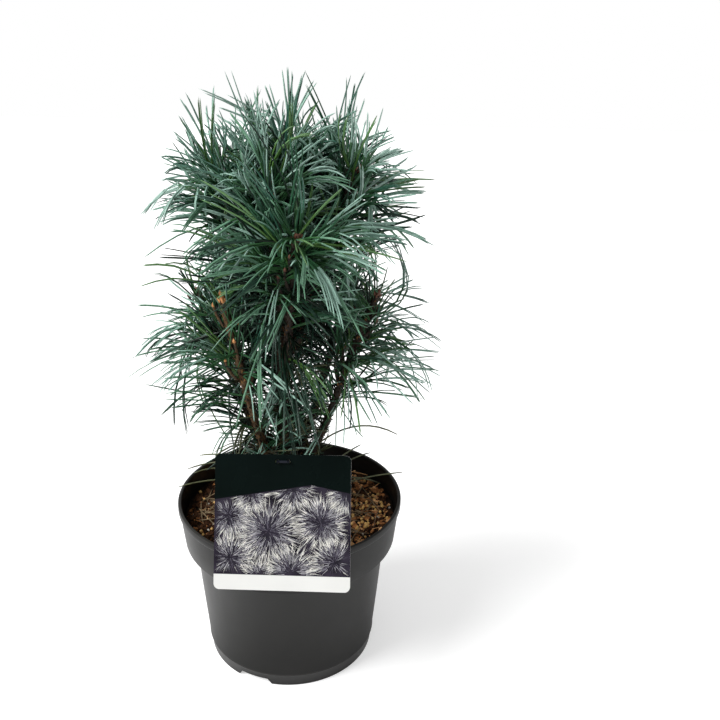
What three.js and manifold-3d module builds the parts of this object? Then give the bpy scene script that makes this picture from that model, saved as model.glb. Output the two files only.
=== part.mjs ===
// A young fastigiate white pine with several upright leaders, in a round nursery pot with a deep
// collar, and a blank plant card that leans on the rim and is tied to the stem.
// Millimetres, +Z up, front towards -Y. The origin is under the pot, on the ground, on its axis.
import * as THREE from "three";
import { mergeVertices } from "three/addons/utils/BufferGeometryUtils.js";
import Module from "manifold-3d";

const wasm = await Module();
wasm.setup();

const GAP = 0.3; // clearance between pieces that touch
const FUSE_TOLERANCE = 0.15;
const CUT_TOLERANCE = 0.05;
const TURN = 2 * Math.PI;
const DEG = Math.PI / 180;
const UP = new THREE.Vector3(0, 0, 1);

// Pot
const POT_HEIGHT = 170;
const RIM_RADIUS = 111;
const LIP_HEIGHT = 8; // the thicker band at the top of the rim
const LIP_STEP = 1.6; // how far that band stands proud of the collar
const COLLAR_HEIGHT = 44;
const COLLAR_FOOT_RADIUS = 105.5;
const BODY_TOP_RADIUS = 96;
const FOOT_RADIUS = 84.9;
const WALL = 1.8;
const SKIRT_HEIGHT = 14; // the skirt under the floor, marked outside by a fine step
const SKIRT_STEP = 0.7;
const SKIRT_WALL = 3.2;
const FLOOR = 2.2;
const POT_SIDES = 48;
const NOTCHES = { count: 3, first: 248.5, height: 6.5, footWidth: 36, topWidth: 28 };
const DRAINS = { count: 6, radius: 6, ring: 58 };

// Soil
const SOIL_EDGE = 141; // height of the soil against the wall
const SOIL_MOUND = 150; // and round the trunk
const SOIL_FLAT = 22;

// Trunk
const TRUNK_TOP = 332;
const TRUNK_RADIUS = 7;
const TRUNK_TOP_RADIUS = 4.8;
const FLARE_RADIUS = 11;
const FLARE_HEIGHT = 14;
const TRUNK_SIDES = 9;

// Shoots: where each leader's tip stands, where it leaves the trunk, how much of it is bare, how
// far its tip leans out and how wide its topmost needles open. Azimuth runs from +X towards +Y, so
// 270 is the front.
const SHOOT_COLUMNS = ["name", "azimuth", "spread", "tip", "leaves", "bare", "lean", "opening"];
const SHOOTS = [
  ["low_left", 210, 63, 383, 168, 90, 12, 34],
  ["low_right", 357, 81, 382, 176, 88, 22, 38],
  ["low_back_left", 163, 91, 370, 184, 88, 24, 36],
  ["low_back", 106, 85, 365, 172, 92, 20, 36],
  ["low_back_right", 52, 88, 373, 190, 88, 22, 36],
  ["high_front_left", 248, 34, 487, 300, 44, 12, 22],
  ["high_front", 280, 83, 454, 291, 44, 46, 34],
  ["high_right", 0, 61, 492, 309, 48, 25, 24],
  ["high_left", 173, 61, 485, 318, 44, 22, 22],
  ["high_back_left", 126, 71, 473, 298, 46, 22, 24],
  ["high_back_right", 59, 70, 482, 322, 46, 22, 22],
  ["leader", 81, 20, 504, 332, 40, 0, 18],
].map((row) => Object.fromEntries(row.map((value, i) => [SHOOT_COLUMNS[i], value])));
const SHOOT_RADIUS = 3.9; // at the trunk
const SHOOT_TIP_RADIUS = 3;
const SHOOT_SIDES = 6;
const TWIGS = { count: 3, from: 0.4, to: 0.85, length: 36, leaves: 42, radius: 1.6, tipRadius: 1.2 };
const TWIG_OPENING = 60;
const BUD = { length: 10, radius: 3.1, sides: 6 };

// Needles: each spike stands for one bundle of five
const NEEDLE_LENGTH = [78, 96];
const NEEDLE_RADIUS = 1.7; // at its bend
const NEEDLE_ROOT = 0.5; // share of that radius at its root
const NEEDLE_BEND = 0.42; // share of its length
const NEEDLE_STEP = 137.508 * DEG; // the spiral that the bundles follow up the stem
const STEM_BUNDLES = 35;
const TWIG_BUNDLES = 8;
const OPENING_LOW = 76; // angle from the stem at the foot of the foliage
const SAG = 0.34; // droop of a level needle's tip, as a share of its length
const WANDER = 0.12;
const SHORTEST = 0.4; // a needle cut shorter than this share is left out
const SLEEVE = { from: 233, to: 286, wall: 1.4, bundles: 40, opening: 48, shortest: 0.26 };

// How far out the crown reaches at each height, from its own upright middle line
const CROWN_MIDDLE = -1;
const CROWN = [
  [170, 30],
  [225, 104],
  [280, 132],
  [335, 146],
  [405, 145],
  [440, 137],
  [470, 138],
  [515, 118],
  [550, 92],
  [581, 54],
  [583, 0],
];

// Card and tie
const CARD = { width: 122, height: 120, thickness: 1, corner: 5, lean: 24.5, turn: -5.2, roll: 2.9 };
const CARD_BELOW = 27; // how far the card reaches past the rim that it rests on
const CARD_ACROSS = 2; // and how far right of the middle its foot stands
const EYE = { radius: 2, apart: 10, drop: 6 };
const TIE = { radius: 0.8, height: 222, sides: 5, steps: 32 };

// A number from 0 to 1 that is always the same for the same seed
const chance = (seed) => {
  const x = Math.sin(seed * 12.9898 + 78.233) * 43758.5453;
  return x - Math.floor(x);
};
const mix = (a, b, t) => a + (b - a) * t;
const around = (azimuth) => new THREE.Vector3(Math.cos(azimuth * DEG), Math.sin(azimuth * DEG), 0);

// Solids

function toSolid(geometry) {
  const bare = new THREE.BufferGeometry();
  bare.setAttribute("position", geometry.getAttribute("position"));
  bare.setIndex(geometry.index);
  const merged = mergeVertices(bare, 1e-4);
  return new wasm.Manifold(
    new wasm.Mesh({
      numProp: 3,
      vertProperties: merged.attributes.position.array,
      triVerts: new Uint32Array(merged.index.array),
    }),
  );
}

function toGeometry(solid) {
  const { vertProperties, triVerts } = solid.getMesh();
  const geometry = new THREE.BufferGeometry();
  geometry.setAttribute("position", new THREE.BufferAttribute(new Float32Array(vertProperties), 3));
  geometry.setIndex(new THREE.BufferAttribute(new Uint32Array(triVerts), 1));
  geometry.computeVertexNormals();
  return geometry;
}

// Solids fused into one or cut clear of others, without the slivers that this leaves
const joined = (solids) => wasm.Manifold.union(solids).asOriginal().simplify(FUSE_TOLERANCE);
const cutBack = (solid, others) => solid.subtract(others).asOriginal().simplify(CUT_TOLERANCE);

const plant = new THREE.Group();

function addPiece(name, geometry, material) {
  const mesh = new THREE.Mesh(geometry, material);
  mesh.name = name;
  plant.add(mesh);
  return mesh;
}

// A lathed solid that stands on +Z
function turned(profile, sides) {
  const points = profile.map(([r, z]) => new THREE.Vector2(r, z));
  return new THREE.LatheGeometry(points, sides).rotateX(Math.PI / 2);
}

// A cylinder or cone of height 1 that is bent on to a curve, with its radius given by height.
// side fixes which way its corners face and must never run along the curve.
function bent(geometry, curve, radiusAt, side) {
  const spots = geometry.getAttribute("position");
  for (let i = 0; i < spots.count; i++) {
    const t = THREE.MathUtils.clamp(spots.getY(i) + 0.5, 0, 1);
    const ahead = curve.getTangent(t);
    const across = new THREE.Vector3().crossVectors(ahead, side).normalize();
    const third = new THREE.Vector3().crossVectors(ahead, across);
    const r = radiusAt(t);
    const at = curve.getPoint(t);
    at.addScaledVector(across, spots.getX(i) * r).addScaledVector(third, -spots.getZ(i) * r);
    spots.setXYZ(i, at.x, at.y, at.z);
  }
  return geometry;
}

function limb(curve, sides, steps, radiusAt) {
  const stick = new THREE.CylinderGeometry(1, 1, 1, sides, steps);
  return bent(stick, curve, radiusAt, new THREE.Vector3(1, 0, 0));
}

// The stretch of a curve between two shares of it
class Stretch extends THREE.Curve {
  constructor(curve, from, to) {
    super();
    Object.assign(this, { curve, from, to });
  }

  getPoint(t, target = new THREE.Vector3()) {
    return this.curve.getPoint(mix(this.from, this.to, t), target);
  }

  getTangent(t, target = new THREE.Vector3()) {
    return this.curve.getTangent(mix(this.from, this.to, t), target);
  }
}

// Materials
const paint = (color, roughness) => new THREE.MeshStandardMaterial({ color, roughness, metalness: 0 });
const POT_PLASTIC = paint(0x3a3b39, 0.55);
const EARTH = paint(0x4a2f1e, 0.95);
const BARK = paint(0x6b4a2e, 0.9);
const NEEDLES = paint(0x4f7466, 0.5);
const CARD_STOCK = paint(0x8d8c98, 0.35);
const TIE_PLASTIC = paint(0x151c26, 0.5);

// Pot: a lathed shell with three notches in its foot and six drain holes in its floor

const bodyRadius = (z) => mix(FOOT_RADIUS, BODY_TOP_RADIUS, z / (POT_HEIGHT - COLLAR_HEIGHT));

function potSolid() {
  const ledge = POT_HEIGHT - COLLAR_HEIGHT;
  const lipFoot = POT_HEIGHT - LIP_HEIGHT;
  const collarTop = RIM_RADIUS - LIP_STEP;
  const skirtInside = FOOT_RADIUS - SKIRT_STEP - SKIRT_WALL;
  const profile = [
    [0, SKIRT_HEIGHT - FLOOR],
    [skirtInside + 1, SKIRT_HEIGHT - FLOOR],
    [skirtInside, 0],
    [FOOT_RADIUS - SKIRT_STEP, 0],
    [bodyRadius(SKIRT_HEIGHT) - SKIRT_STEP, SKIRT_HEIGHT],
    [bodyRadius(SKIRT_HEIGHT), SKIRT_HEIGHT + SKIRT_STEP],
    [BODY_TOP_RADIUS, ledge + 0.5],
    [COLLAR_FOOT_RADIUS, ledge],
    [collarTop, lipFoot],
    [RIM_RADIUS, lipFoot + LIP_STEP],
    [RIM_RADIUS, POT_HEIGHT - 1],
    [RIM_RADIUS - 1, POT_HEIGHT],
    [collarTop - WALL, POT_HEIGHT],
    [collarTop - WALL - 0.3, lipFoot],
    [COLLAR_FOOT_RADIUS - WALL, ledge + WALL],
    [BODY_TOP_RADIUS - WALL, ledge + WALL],
    [bodyRadius(SKIRT_HEIGHT) - WALL, SKIRT_HEIGHT],
    [0, SKIRT_HEIGHT],
  ];
  let pot = toSolid(turned(profile, POT_SIDES));
  for (let i = 0; i < NOTCHES.count; i++) {
    pot = pot.subtract(toSolid(notchCutter(NOTCHES.first + (i * 360) / NOTCHES.count)));
  }
  for (let i = 0; i < DRAINS.count; i++) {
    const drain = new THREE.CylinderGeometry(DRAINS.radius, DRAINS.radius, 4 * FLOOR, 10);
    const at = around((i * 360) / DRAINS.count).multiplyScalar(DRAINS.ring);
    drain.rotateX(Math.PI / 2).translate(at.x, at.y, SKIRT_HEIGHT - FLOOR / 2);
    pot = pot.subtract(toSolid(drain));
  }
  return pot;
}

function notchCutter(azimuth) {
  const { height, footWidth, topWidth } = NOTCHES;
  const outline = new THREE.Shape();
  outline.moveTo(-footWidth / 2 - 1, -1);
  outline.lineTo(footWidth / 2 + 1, -1);
  outline.lineTo(topWidth / 2, height);
  outline.lineTo(-topWidth / 2, height);
  outline.closePath();
  const cutter = new THREE.ExtrudeGeometry(outline, { depth: 24, bevelEnabled: false });
  cutter.rotateX(Math.PI / 2).rotateZ(Math.PI / 2 + azimuth * DEG);
  const out = around(azimuth).multiplyScalar(FOOT_RADIUS - 14);
  return cutter.translate(out.x, out.y, 0);
}

// Soil: fills the pot from its floor to the height seen in the photograph, with a low mound

function soilGeometry() {
  const ledgeTop = POT_HEIGHT - COLLAR_HEIGHT + WALL + GAP;
  const collarShare = (z) => (z - POT_HEIGHT + COLLAR_HEIGHT) / (COLLAR_HEIGHT - LIP_HEIGHT);
  const collarInside = (z) => mix(COLLAR_FOOT_RADIUS, RIM_RADIUS - LIP_STEP, collarShare(z));
  const clear = WALL + 2 * GAP;
  const edge = collarInside(SOIL_EDGE) - clear;
  const mound = [0.3, 0.65].map((t) => [mix(edge, SOIL_FLAT, t), mix(SOIL_EDGE, SOIL_MOUND, t ** 1.5)]);
  const profile = [
    [0, SKIRT_HEIGHT + GAP],
    [bodyRadius(SKIRT_HEIGHT) - clear, SKIRT_HEIGHT + GAP],
    [BODY_TOP_RADIUS - clear, ledgeTop],
    [COLLAR_FOOT_RADIUS - clear, ledgeTop],
    [edge, SOIL_EDGE],
    ...mound,
    [SOIL_FLAT, SOIL_MOUND],
    [0, SOIL_MOUND],
  ];
  return turned(profile, POT_SIDES);
}

// Trunk: a flat cut on the soil, a root flare, and one gently leaning taper up to the high fork

const TRUNK_FOOT = SOIL_MOUND + GAP;
const trunkCurve = new THREE.CubicBezierCurve3(
  new THREE.Vector3(-3, 0, TRUNK_FOOT),
  new THREE.Vector3(-3, 0, mix(TRUNK_FOOT, TRUNK_TOP, 1 / 3)),
  new THREE.Vector3(-11.5, 2, mix(TRUNK_FOOT, TRUNK_TOP, 2 / 3)),
  new THREE.Vector3(-4.5, 4, TRUNK_TOP),
);

function trunkRadius(t) {
  const height = t * (TRUNK_TOP - TRUNK_FOOT);
  const flare = Math.exp(-height / FLARE_HEIGHT) * (FLARE_RADIUS - TRUNK_RADIUS);
  return mix(TRUNK_RADIUS, TRUNK_TOP_RADIUS, t) + flare;
}

const trunkShareAt = (z) => (z - TRUNK_FOOT) / (TRUNK_TOP - TRUNK_FOOT);
const trunkLimb = (grow) => limb(trunkCurve, TRUNK_SIDES, 14, (t) => trunkRadius(t) + grow);

// Shoots: each leaves the trunk, turns upright and ends in a bud

function shootCurve({ azimuth, spread, tip, leaves, lean }) {
  const foot = trunkCurve.getPoint(Math.min(1, trunkShareAt(leaves)));
  if (leaves >= TRUNK_TOP) foot.z = TRUNK_TOP + GAP;
  const top = around(azimuth).multiplyScalar(spread).setZ(tip);
  const out = top.clone().sub(foot).setZ(0);
  const rise = top.z - foot.z;
  const below = UP.clone()
    .multiplyScalar(Math.cos(lean * DEG))
    .addScaledVector(around(azimuth), Math.sin(lean * DEG));
  return new THREE.CubicBezierCurve3(
    foot,
    foot.clone().addScaledVector(out, 0.42).addScaledVector(UP, rise * 0.2),
    top.clone().addScaledVector(below, -rise * 0.42),
    top,
  );
}

const shootRadius = (t) => mix(SHOOT_RADIUS, SHOOT_TIP_RADIUS, t);

for (const shoot of SHOOTS) {
  shoot.curve = shootCurve(shoot);
  const long = shoot.curve.getLength();
  shoot.split = shoot.bare / long; // the bough ends here and the foliage begins
  shoot.start = shoot.split + GAP / long;
}

// Everything that a needle keeps clear of is told from points along the limbs. A point in space
// belongs to the foliage whose own limb points are nearest.

const SITES = 30; // along each limb
const sites = [];

function mark(owner, curve, radiusAt) {
  for (let i = 0; i <= SITES; i++) {
    sites.push({ owner, at: curve.getPoint(i / SITES), radius: radiusAt(i / SITES) });
  }
}

mark("trunk", trunkCurve, trunkRadius);
for (const { name, curve } of SHOOTS) mark(name, curve, shootRadius);

// How far a point is inside its owner's own space
function roomAt(point, owner) {
  let own = null;
  let ownDistance = Infinity;
  for (const site of sites) {
    if (site.owner !== owner) continue;
    const d = site.at.distanceToSquared(point);
    if (d < ownDistance) [own, ownDistance] = [site, d];
  }
  let room = Infinity;
  for (const site of sites) {
    if (site.owner === owner) continue;
    const d = site.at.distanceToSquared(point);
    room = Math.min(room, (d - ownDistance) / (2 * site.at.distanceTo(own.at)));
    room = Math.min(room, Math.sqrt(d) - site.radius - GAP);
  }
  return room;
}

// Card: leans back on the rim, a little turned and rolled

const cardFrame = (() => {
  const tilt = new THREE.Matrix4().makeRotationX(Math.PI / 2 - CARD.lean * DEG);
  const roll = new THREE.Matrix4().makeRotationZ(CARD.roll * DEG);
  const turn = new THREE.Matrix4().makeRotationZ(CARD.turn * DEG);
  const frame = turn.multiply(tilt).multiply(roll);
  const [right, up, front] = [0, 1, 2].map((i) => new THREE.Vector3().setFromMatrixColumn(frame, i));
  const rest = new THREE.Vector3(front.x, front.y, 0).setLength(RIM_RADIUS).setZ(POT_HEIGHT - 1);
  const foot = rest.addScaledVector(front, 2 * GAP).addScaledVector(up, -CARD_BELOW);
  foot.addScaledVector(right, (CARD_ACROSS - foot.x) / right.x);
  return frame.setPosition(foot);
})();

function cardGeometry() {
  const { width, height, thickness, corner } = CARD;
  const outline = new THREE.Shape();
  const [x, y] = [width / 2 - corner, corner];
  outline.absarc(x, y, corner, -TURN / 4, 0);
  outline.absarc(x, height - y, corner, 0, TURN / 4);
  outline.absarc(-x, height - y, corner, TURN / 4, TURN / 2);
  outline.absarc(-x, y, corner, TURN / 2, (3 * TURN) / 4);
  for (const side of [-1, 1]) {
    const eye = new THREE.Path();
    eye.absarc((side * EYE.apart) / 2, height - EYE.drop, EYE.radius, 0, TURN, true);
    outline.holes.push(eye);
  }
  return new THREE.ExtrudeGeometry(outline, { depth: thickness, bevelEnabled: false, curveSegments: 4 });
}

// Tie: one closed loop through both eyes and round the trunk

const tieCurve = (() => {
  const onCard = (side, depth) =>
    new THREE.Vector3((side * EYE.apart) / 2, CARD.height - EYE.drop, depth).applyMatrix4(cardFrame);
  const round = trunkCurve.getPoint(trunkShareAt(TIE.height));
  const reach = trunkRadius(trunkShareAt(TIE.height)) + TIE.radius + 3.5 * GAP;
  const onTrunk = (azimuth) => round.clone().addScaledVector(around(azimuth), reach);
  return new THREE.CatmullRomCurve3(
    [
      onCard(-0.4, CARD.thickness + 2.6),
      onCard(-1, CARD.thickness + 1.6),
      onCard(-1, -1.8),
      onTrunk(205),
      onTrunk(150),
      onTrunk(90),
      onTrunk(30),
      onTrunk(335),
      onCard(1, -1.8),
      onCard(1, CARD.thickness + 1.6),
      onCard(0.4, CARD.thickness + 2.6),
    ],
    true,
  );
})();

const tieSpots = tieCurve.getSpacedPoints(80);
const toCard = cardFrame.clone().invert();

// Whether a needle's point would touch the card, the tie, the pot or the soil
function blocked(point) {
  const onCard = point.clone().applyMatrix4(toCard);
  const overCard = Math.abs(onCard.x) < CARD.width / 2 + 3 && onCard.y < CARD.height + 3;
  const nearTie = tieSpots.some((at) => at.distanceTo(point) < TIE.radius + NEEDLE_RADIUS + 1.2);
  return nearTie || (overCard && Math.abs(onCard.z) < 4) || point.z < POT_HEIGHT + 6;
}

function crownReach(z) {
  const above = CROWN.findIndex(([height]) => height > z);
  if (above < 1) return 0;
  const [[z0, r0], [z1, r1]] = [CROWN[above - 1], CROWN[above]];
  return mix(r0, r1, (z - z0) / (z1 - z0));
}

// Needles: one bundle leaves the stem at a given height and angle, and sags outwards

function bundleCurve(stem, t, spin, opening, long, seed) {
  const root = stem.getPoint(t);
  const ahead = stem.getTangent(t);
  const side = new THREE.Vector3().crossVectors(ahead, new THREE.Vector3(0.3, 1, 0)).normalize();
  const out = side.applyAxisAngle(ahead, spin);
  const way = ahead.clone().multiplyScalar(Math.cos(opening)).addScaledVector(out, Math.sin(opening));
  const level = Math.hypot(way.x, way.y);
  const wander = new THREE.Vector3(...[0.1, 0.2, 0.3].map((more) => chance(seed + more) - 0.5));
  const end = root
    .clone()
    .addScaledVector(way, long)
    .addScaledVector(UP, -SAG * level * level * long)
    .addScaledVector(wander, WANDER * long);
  const middle = root.clone().addScaledVector(way, long * 0.52);
  return new THREE.QuadraticBezierCurve3(root, middle, end);
}

// The share of a needle that stays in its owner's space and touches nothing
function shareClear(curve, owner, rootRadius) {
  const checks = 14;
  const long = curve.getLength();
  let clear = 0;
  for (let i = 1; i <= checks; i++) {
    const t = i / checks;
    if (t * long < rootRadius) continue;
    const point = curve.getPoint(t);
    if (Math.hypot(point.x - CROWN_MIDDLE, point.y) > crownReach(point.z)) return clear;
    if (blocked(point) || roomAt(point, owner) < NEEDLE_RADIUS + GAP) return clear;
    clear = t;
  }
  return clear;
}

// A three-sided spike with one bend, whose lower sides are flat
function spike(curve, share) {
  const [root, bend, tip] = [0, NEEDLE_BEND * share, share].map((t) => curve.getPoint(t));
  const ahead = bend.clone().sub(root).normalize();
  const side = Math.abs(ahead.z) < 0.8 ? UP : new THREE.Vector3(1, 0, 0);
  const across = new THREE.Vector3().crossVectors(ahead, side).normalize();
  const third = new THREE.Vector3().crossVectors(ahead, across);
  const needle = new THREE.ConeGeometry(1, 1, 3, 2);
  const spots = needle.getAttribute("position");
  for (let i = 0; i < spots.count; i++) {
    const level = Math.round(2 * spots.getY(i) + 1); // 0 at the root, 1 at the bend, 2 at the tip
    const at = [root, bend, tip][level].clone();
    const r = NEEDLE_RADIUS * [NEEDLE_ROOT, 2, 0][level];
    at.addScaledVector(across, spots.getX(i) * r).addScaledVector(third, -spots.getZ(i) * r);
    spots.setXYZ(i, at.x, at.y, at.z);
  }
  return toSolid(needle);
}

function growNeedles(owner, stem, count, radiusAt, seed, openingAt, shortest = SHORTEST) {
  const needles = [];
  for (let i = 0; i < count; i++) {
    const own = seed + i;
    const t = THREE.MathUtils.clamp((i + 0.35 + 0.6 * chance(own + 0.4)) / count, 0.02, 0.985);
    const opening = (openingAt(t) + 14 * (chance(own + 0.5) - 0.5)) * DEG;
    const long = mix(...NEEDLE_LENGTH, chance(own + 0.6));
    const curve = bundleCurve(stem, t, i * NEEDLE_STEP, opening, long, own);
    const share = shareClear(curve, owner, radiusAt(t) + 2);
    if (share >= shortest) needles.push(spike(curve, share));
  }
  return needles;
}

// Foliage of one shoot: its own stem from the bough's tip to the bud, side twigs that leave it by a
// seeded rule, and the bundles fused on both

function twigCurve(stem, index, seed) {
  const t = mix(TWIGS.from, TWIGS.to, (index + 0.3 + 0.4 * chance(seed)) / TWIGS.count);
  const root = stem.getPoint(t);
  const ahead = stem.getTangent(t);
  const side = new THREE.Vector3().crossVectors(ahead, new THREE.Vector3(0.3, 1, 0)).normalize();
  side.applyAxisAngle(ahead, index * NEEDLE_STEP + TURN * chance(seed + 0.5));
  const way = ahead
    .clone()
    .multiplyScalar(Math.cos(TWIGS.leaves * DEG))
    .addScaledVector(side, Math.sin(TWIGS.leaves * DEG));
  const elbow = root.clone().addScaledVector(way, TWIGS.length * 0.55);
  const end = elbow.clone().addScaledVector(ahead, TWIGS.length * 0.5);
  return new THREE.QuadraticBezierCurve3(root, elbow, end);
}

function foliage(shoot, index) {
  const seed = 1000 * (index + 1);
  const stem = new Stretch(shoot.curve, shoot.start, 1);
  const radiusAt = (t) => shootRadius(mix(shoot.start, 1, t));
  const opening = (t) => mix(OPENING_LOW, shoot.opening, t ** 1.6);
  const twigOpening = (t) => mix(TWIG_OPENING, shoot.opening, t);
  const pieces = [toSolid(limb(stem, SHOOT_SIDES, 6, radiusAt)), budSolid(shoot.curve)];
  pieces.push(...growNeedles(shoot.name, stem, STEM_BUNDLES, radiusAt, seed, opening));
  for (let i = 0; i < TWIGS.count; i++) {
    const twig = twigCurve(stem, i, seed + 100 + i);
    if (roomAt(twig.getPoint(1), shoot.name) < 6) continue;
    const twigRadius = (t) => mix(TWIGS.radius, TWIGS.tipRadius, t);
    const stick = new THREE.CylinderGeometry(1, 1, 1, 4, 2);
    pieces.push(toSolid(bent(stick, twig, twigRadius, new THREE.Vector3(0.3, 1, 0))));
    const twigSeed = seed + 200 + 30 * i;
    pieces.push(...growNeedles(shoot.name, twig, TWIG_BUNDLES, twigRadius, twigSeed, twigOpening));
  }
  return joined(pieces);
}

function budSolid(curve) {
  const ahead = curve.getTangent(1);
  const tip = curve.getPoint(1);
  const { length, radius, sides } = BUD;
  const outline = [
    [0, -3],
    [radius * 0.8, -1],
    [radius, length * 0.3],
    [radius * 0.55, length * 0.7],
    [0, length],
  ];
  const bud = turned(outline, sides);
  bud.applyQuaternion(new THREE.Quaternion().setFromUnitVectors(UP, ahead));
  return toSolid(bud.translate(tip.x, tip.y, tip.z));
}

// Foliage of the trunk: a slim sleeve cut clear of it and of the boughs

function trunkFoliage(limbs) {
  const stem = new Stretch(trunkCurve, trunkShareAt(SLEEVE.from), trunkShareAt(SLEEVE.to));
  const radiusAt = (t) => trunkRadius(mix(stem.from, stem.to, t)) + GAP + SLEEVE.wall;
  const core = toSolid(limb(stem, TRUNK_SIDES, 3, radiusAt));
  const { bundles, opening, shortest } = SLEEVE;
  const needles = growNeedles("trunk", stem, bundles, radiusAt, 500, () => opening, shortest);
  return cutBack(joined([core, ...needles]), limbs);
}

// Assembly

addPiece("pot", toGeometry(potSolid()), POT_PLASTIC);
addPiece("soil", soilGeometry(), EARTH);
addPiece("trunk", trunkLimb(0), BARK);
addPiece("plant_card", cardGeometry(), CARD_STOCK).applyMatrix4(cardFrame);
const tieTube = new THREE.TubeGeometry(tieCurve, TIE.steps, TIE.radius, TIE.sides, true);
addPiece("card_tie", tieTube, TIE_PLASTIC);

let limbs = toSolid(trunkLimb(GAP));
SHOOTS.forEach((shoot, index) => {
  const bare = new Stretch(shoot.curve, 0, shoot.split);
  const grown = (more) => {
    return toSolid(limb(bare, SHOOT_SIDES, 5, (t) => shootRadius(t * shoot.split) + more));
  };
  addPiece(`bough_${shoot.name}`, toGeometry(cutBack(grown(0), limbs)), BARK);
  limbs = limbs.add(grown(GAP));
  addPiece(`foliage_${shoot.name}`, toGeometry(foliage(shoot, index)), NEEDLES);
});
addPiece("foliage_trunk", toGeometry(trunkFoliage(limbs)), NEEDLES);

export default plant;
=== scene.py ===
from math import comb, cos, hypot, pi, radians, sin

import bpy
import numpy as np
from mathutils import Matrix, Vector, noise


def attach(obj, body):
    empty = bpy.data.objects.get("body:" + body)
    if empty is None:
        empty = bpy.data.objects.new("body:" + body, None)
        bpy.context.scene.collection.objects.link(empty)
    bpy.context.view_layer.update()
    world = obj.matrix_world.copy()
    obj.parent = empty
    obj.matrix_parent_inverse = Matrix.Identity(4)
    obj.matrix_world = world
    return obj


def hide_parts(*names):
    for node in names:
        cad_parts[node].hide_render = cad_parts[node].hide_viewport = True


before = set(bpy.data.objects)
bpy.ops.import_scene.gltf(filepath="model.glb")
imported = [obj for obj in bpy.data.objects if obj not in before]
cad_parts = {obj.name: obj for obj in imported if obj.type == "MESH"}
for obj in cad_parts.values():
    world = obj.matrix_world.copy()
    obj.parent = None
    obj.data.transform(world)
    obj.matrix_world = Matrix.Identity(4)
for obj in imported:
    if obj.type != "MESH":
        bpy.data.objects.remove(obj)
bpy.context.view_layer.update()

MM = 0.001
GAP = 0.3

# Driving sizes, as in the part's source
POT_HEIGHT = 170
RIM_RADIUS = 111
LIP_HEIGHT = 8
LIP_STEP = 1.6
COLLAR_HEIGHT = 44
COLLAR_FOOT_RADIUS = 105.5
BODY_TOP_RADIUS = 96
FOOT_RADIUS = 84.9
WALL = 1.8
SKIRT_HEIGHT = 14
SKIRT_STEP = 0.7
SKIRT_WALL = 3.2
FLOOR = 2.2
NOTCHES = dict(count=3, first=248.5, height=6.5, foot=36, top=28)
DRAINS = dict(count=6, radius=6, ring=58)
SOIL_EDGE = 141
SOIL_MOUND = 150
SOIL_LOOSE = (9, 3.5)  # how far the loose bark heaps up over that, at the wall and at the trunk
SOIL_FLAT = 22
TRUNK_TOP = 332
TRUNK_RADIUS = 7
TRUNK_TOP_RADIUS = 4.8
FLARE_RADIUS = 11
FLARE_HEIGHT = 14
SHOOT_COLUMNS = ("name", "azimuth", "spread", "tip", "leaves", "bare", "lean", "opening")
SHOOT_ROWS = (
    ("low_left", 210, 63, 383, 168, 90, 12, 34),
    ("low_right", 357, 81, 382, 176, 88, 22, 38),
    ("low_back_left", 163, 91, 370, 184, 88, 24, 36),
    ("low_back", 106, 85, 365, 172, 92, 20, 36),
    ("low_back_right", 52, 88, 373, 190, 88, 22, 36),
    ("high_front_left", 248, 34, 487, 300, 44, 12, 22),
    ("high_front", 280, 83, 454, 291, 44, 46, 34),
    ("high_right", 0, 61, 492, 309, 48, 25, 24),
    ("high_left", 173, 61, 485, 318, 44, 22, 22),
    ("high_back_left", 126, 71, 473, 298, 46, 22, 24),
    ("high_back_right", 59, 70, 482, 322, 46, 22, 22),
    ("leader", 81, 20, 504, 332, 40, 0, 18),
)
SHOOTS = [dict(zip(SHOOT_COLUMNS, row)) for row in SHOOT_ROWS]
SHOOT_RADIUS = 3.9
SHOOT_TIP_RADIUS = 3.0
TWIGS = dict(count=5, start=0.3, end=0.88, length=36, leaves=42, radius=1.6, tip=1.2, opening=60)
NEEDLE_STEP = radians(137.508)
OPENING_LOW = 76
CROWN_MIDDLE = -1
# How far most needles reach at each height: to the left, to the right and in depth
CROWN_ROWS = np.array((
    (155, 60, 50, 60),
    (218, 66, 56, 80),
    (240, 64, 50, 90),
    (262, 80, 80, 100),
    (283, 118, 126, 108),
    (305, 136, 144, 116),
    (325, 134, 142, 122),
    (345, 110, 126, 126),
    (364, 100, 92, 126),
    (384, 76, 66, 126),
    (402, 58, 56, 126),
    (421, 58, 70, 126),
    (440, 92, 104, 126),
    (458, 113, 124, 124),
    (475, 108, 116, 116),
    (492, 105, 106, 104),
    (509, 98, 98, 88),
    (525, 98, 92, 74),
    (541, 98, 92, 64),
    (560, 84, 78, 54),
    (580, 66, 56, 44),
))
CROWN_TOPS = (  # places to the right, and heights
    (-120, -100, -85, -70, -45, -20, 0, 15, 35, 55, 75, 95, 120),
    (512, 516, 548, 572, 568, 566, 575, 578, 542, 536, 534, 552, 542),
)
CROWN_TOP = 579  # no needle reaches above this
CROWN_WIDEST = 156  # nor further out
LONGEST = {"low": 62, "high": 54}  # how much further some needles reach
LONG_ABOVE = dict(start=250, depth=60, least=0.2)  # low on the crown only this share of it
UNEVEN = 20  # how much most needles differ in reach
MORE_UP = 0.8  # shares of the further reach that count above and below
MORE_DOWN = 0.2
TOP_SLOPE = 0.35  # the top sinks towards the back
BACK_DEEPER = 16  # how much deeper than wide the back is at most
HEM = (  # places to the right, and heights
    (-120, -90, 20, 46, 80, 130),
    (236, 212, 165, 258, 272, 276),
)
CARD = dict(width=122, height=120, thickness=1, corner=5, lean=24.5, turn=-5.2, roll=2.9)
CARD_BELOW = 27
CARD_ACROSS = 2
CARD_HALF = CARD["width"] / 2
EYE = dict(radius=2, apart=10, drop=6)
TIE_HEIGHT = 222

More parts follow.
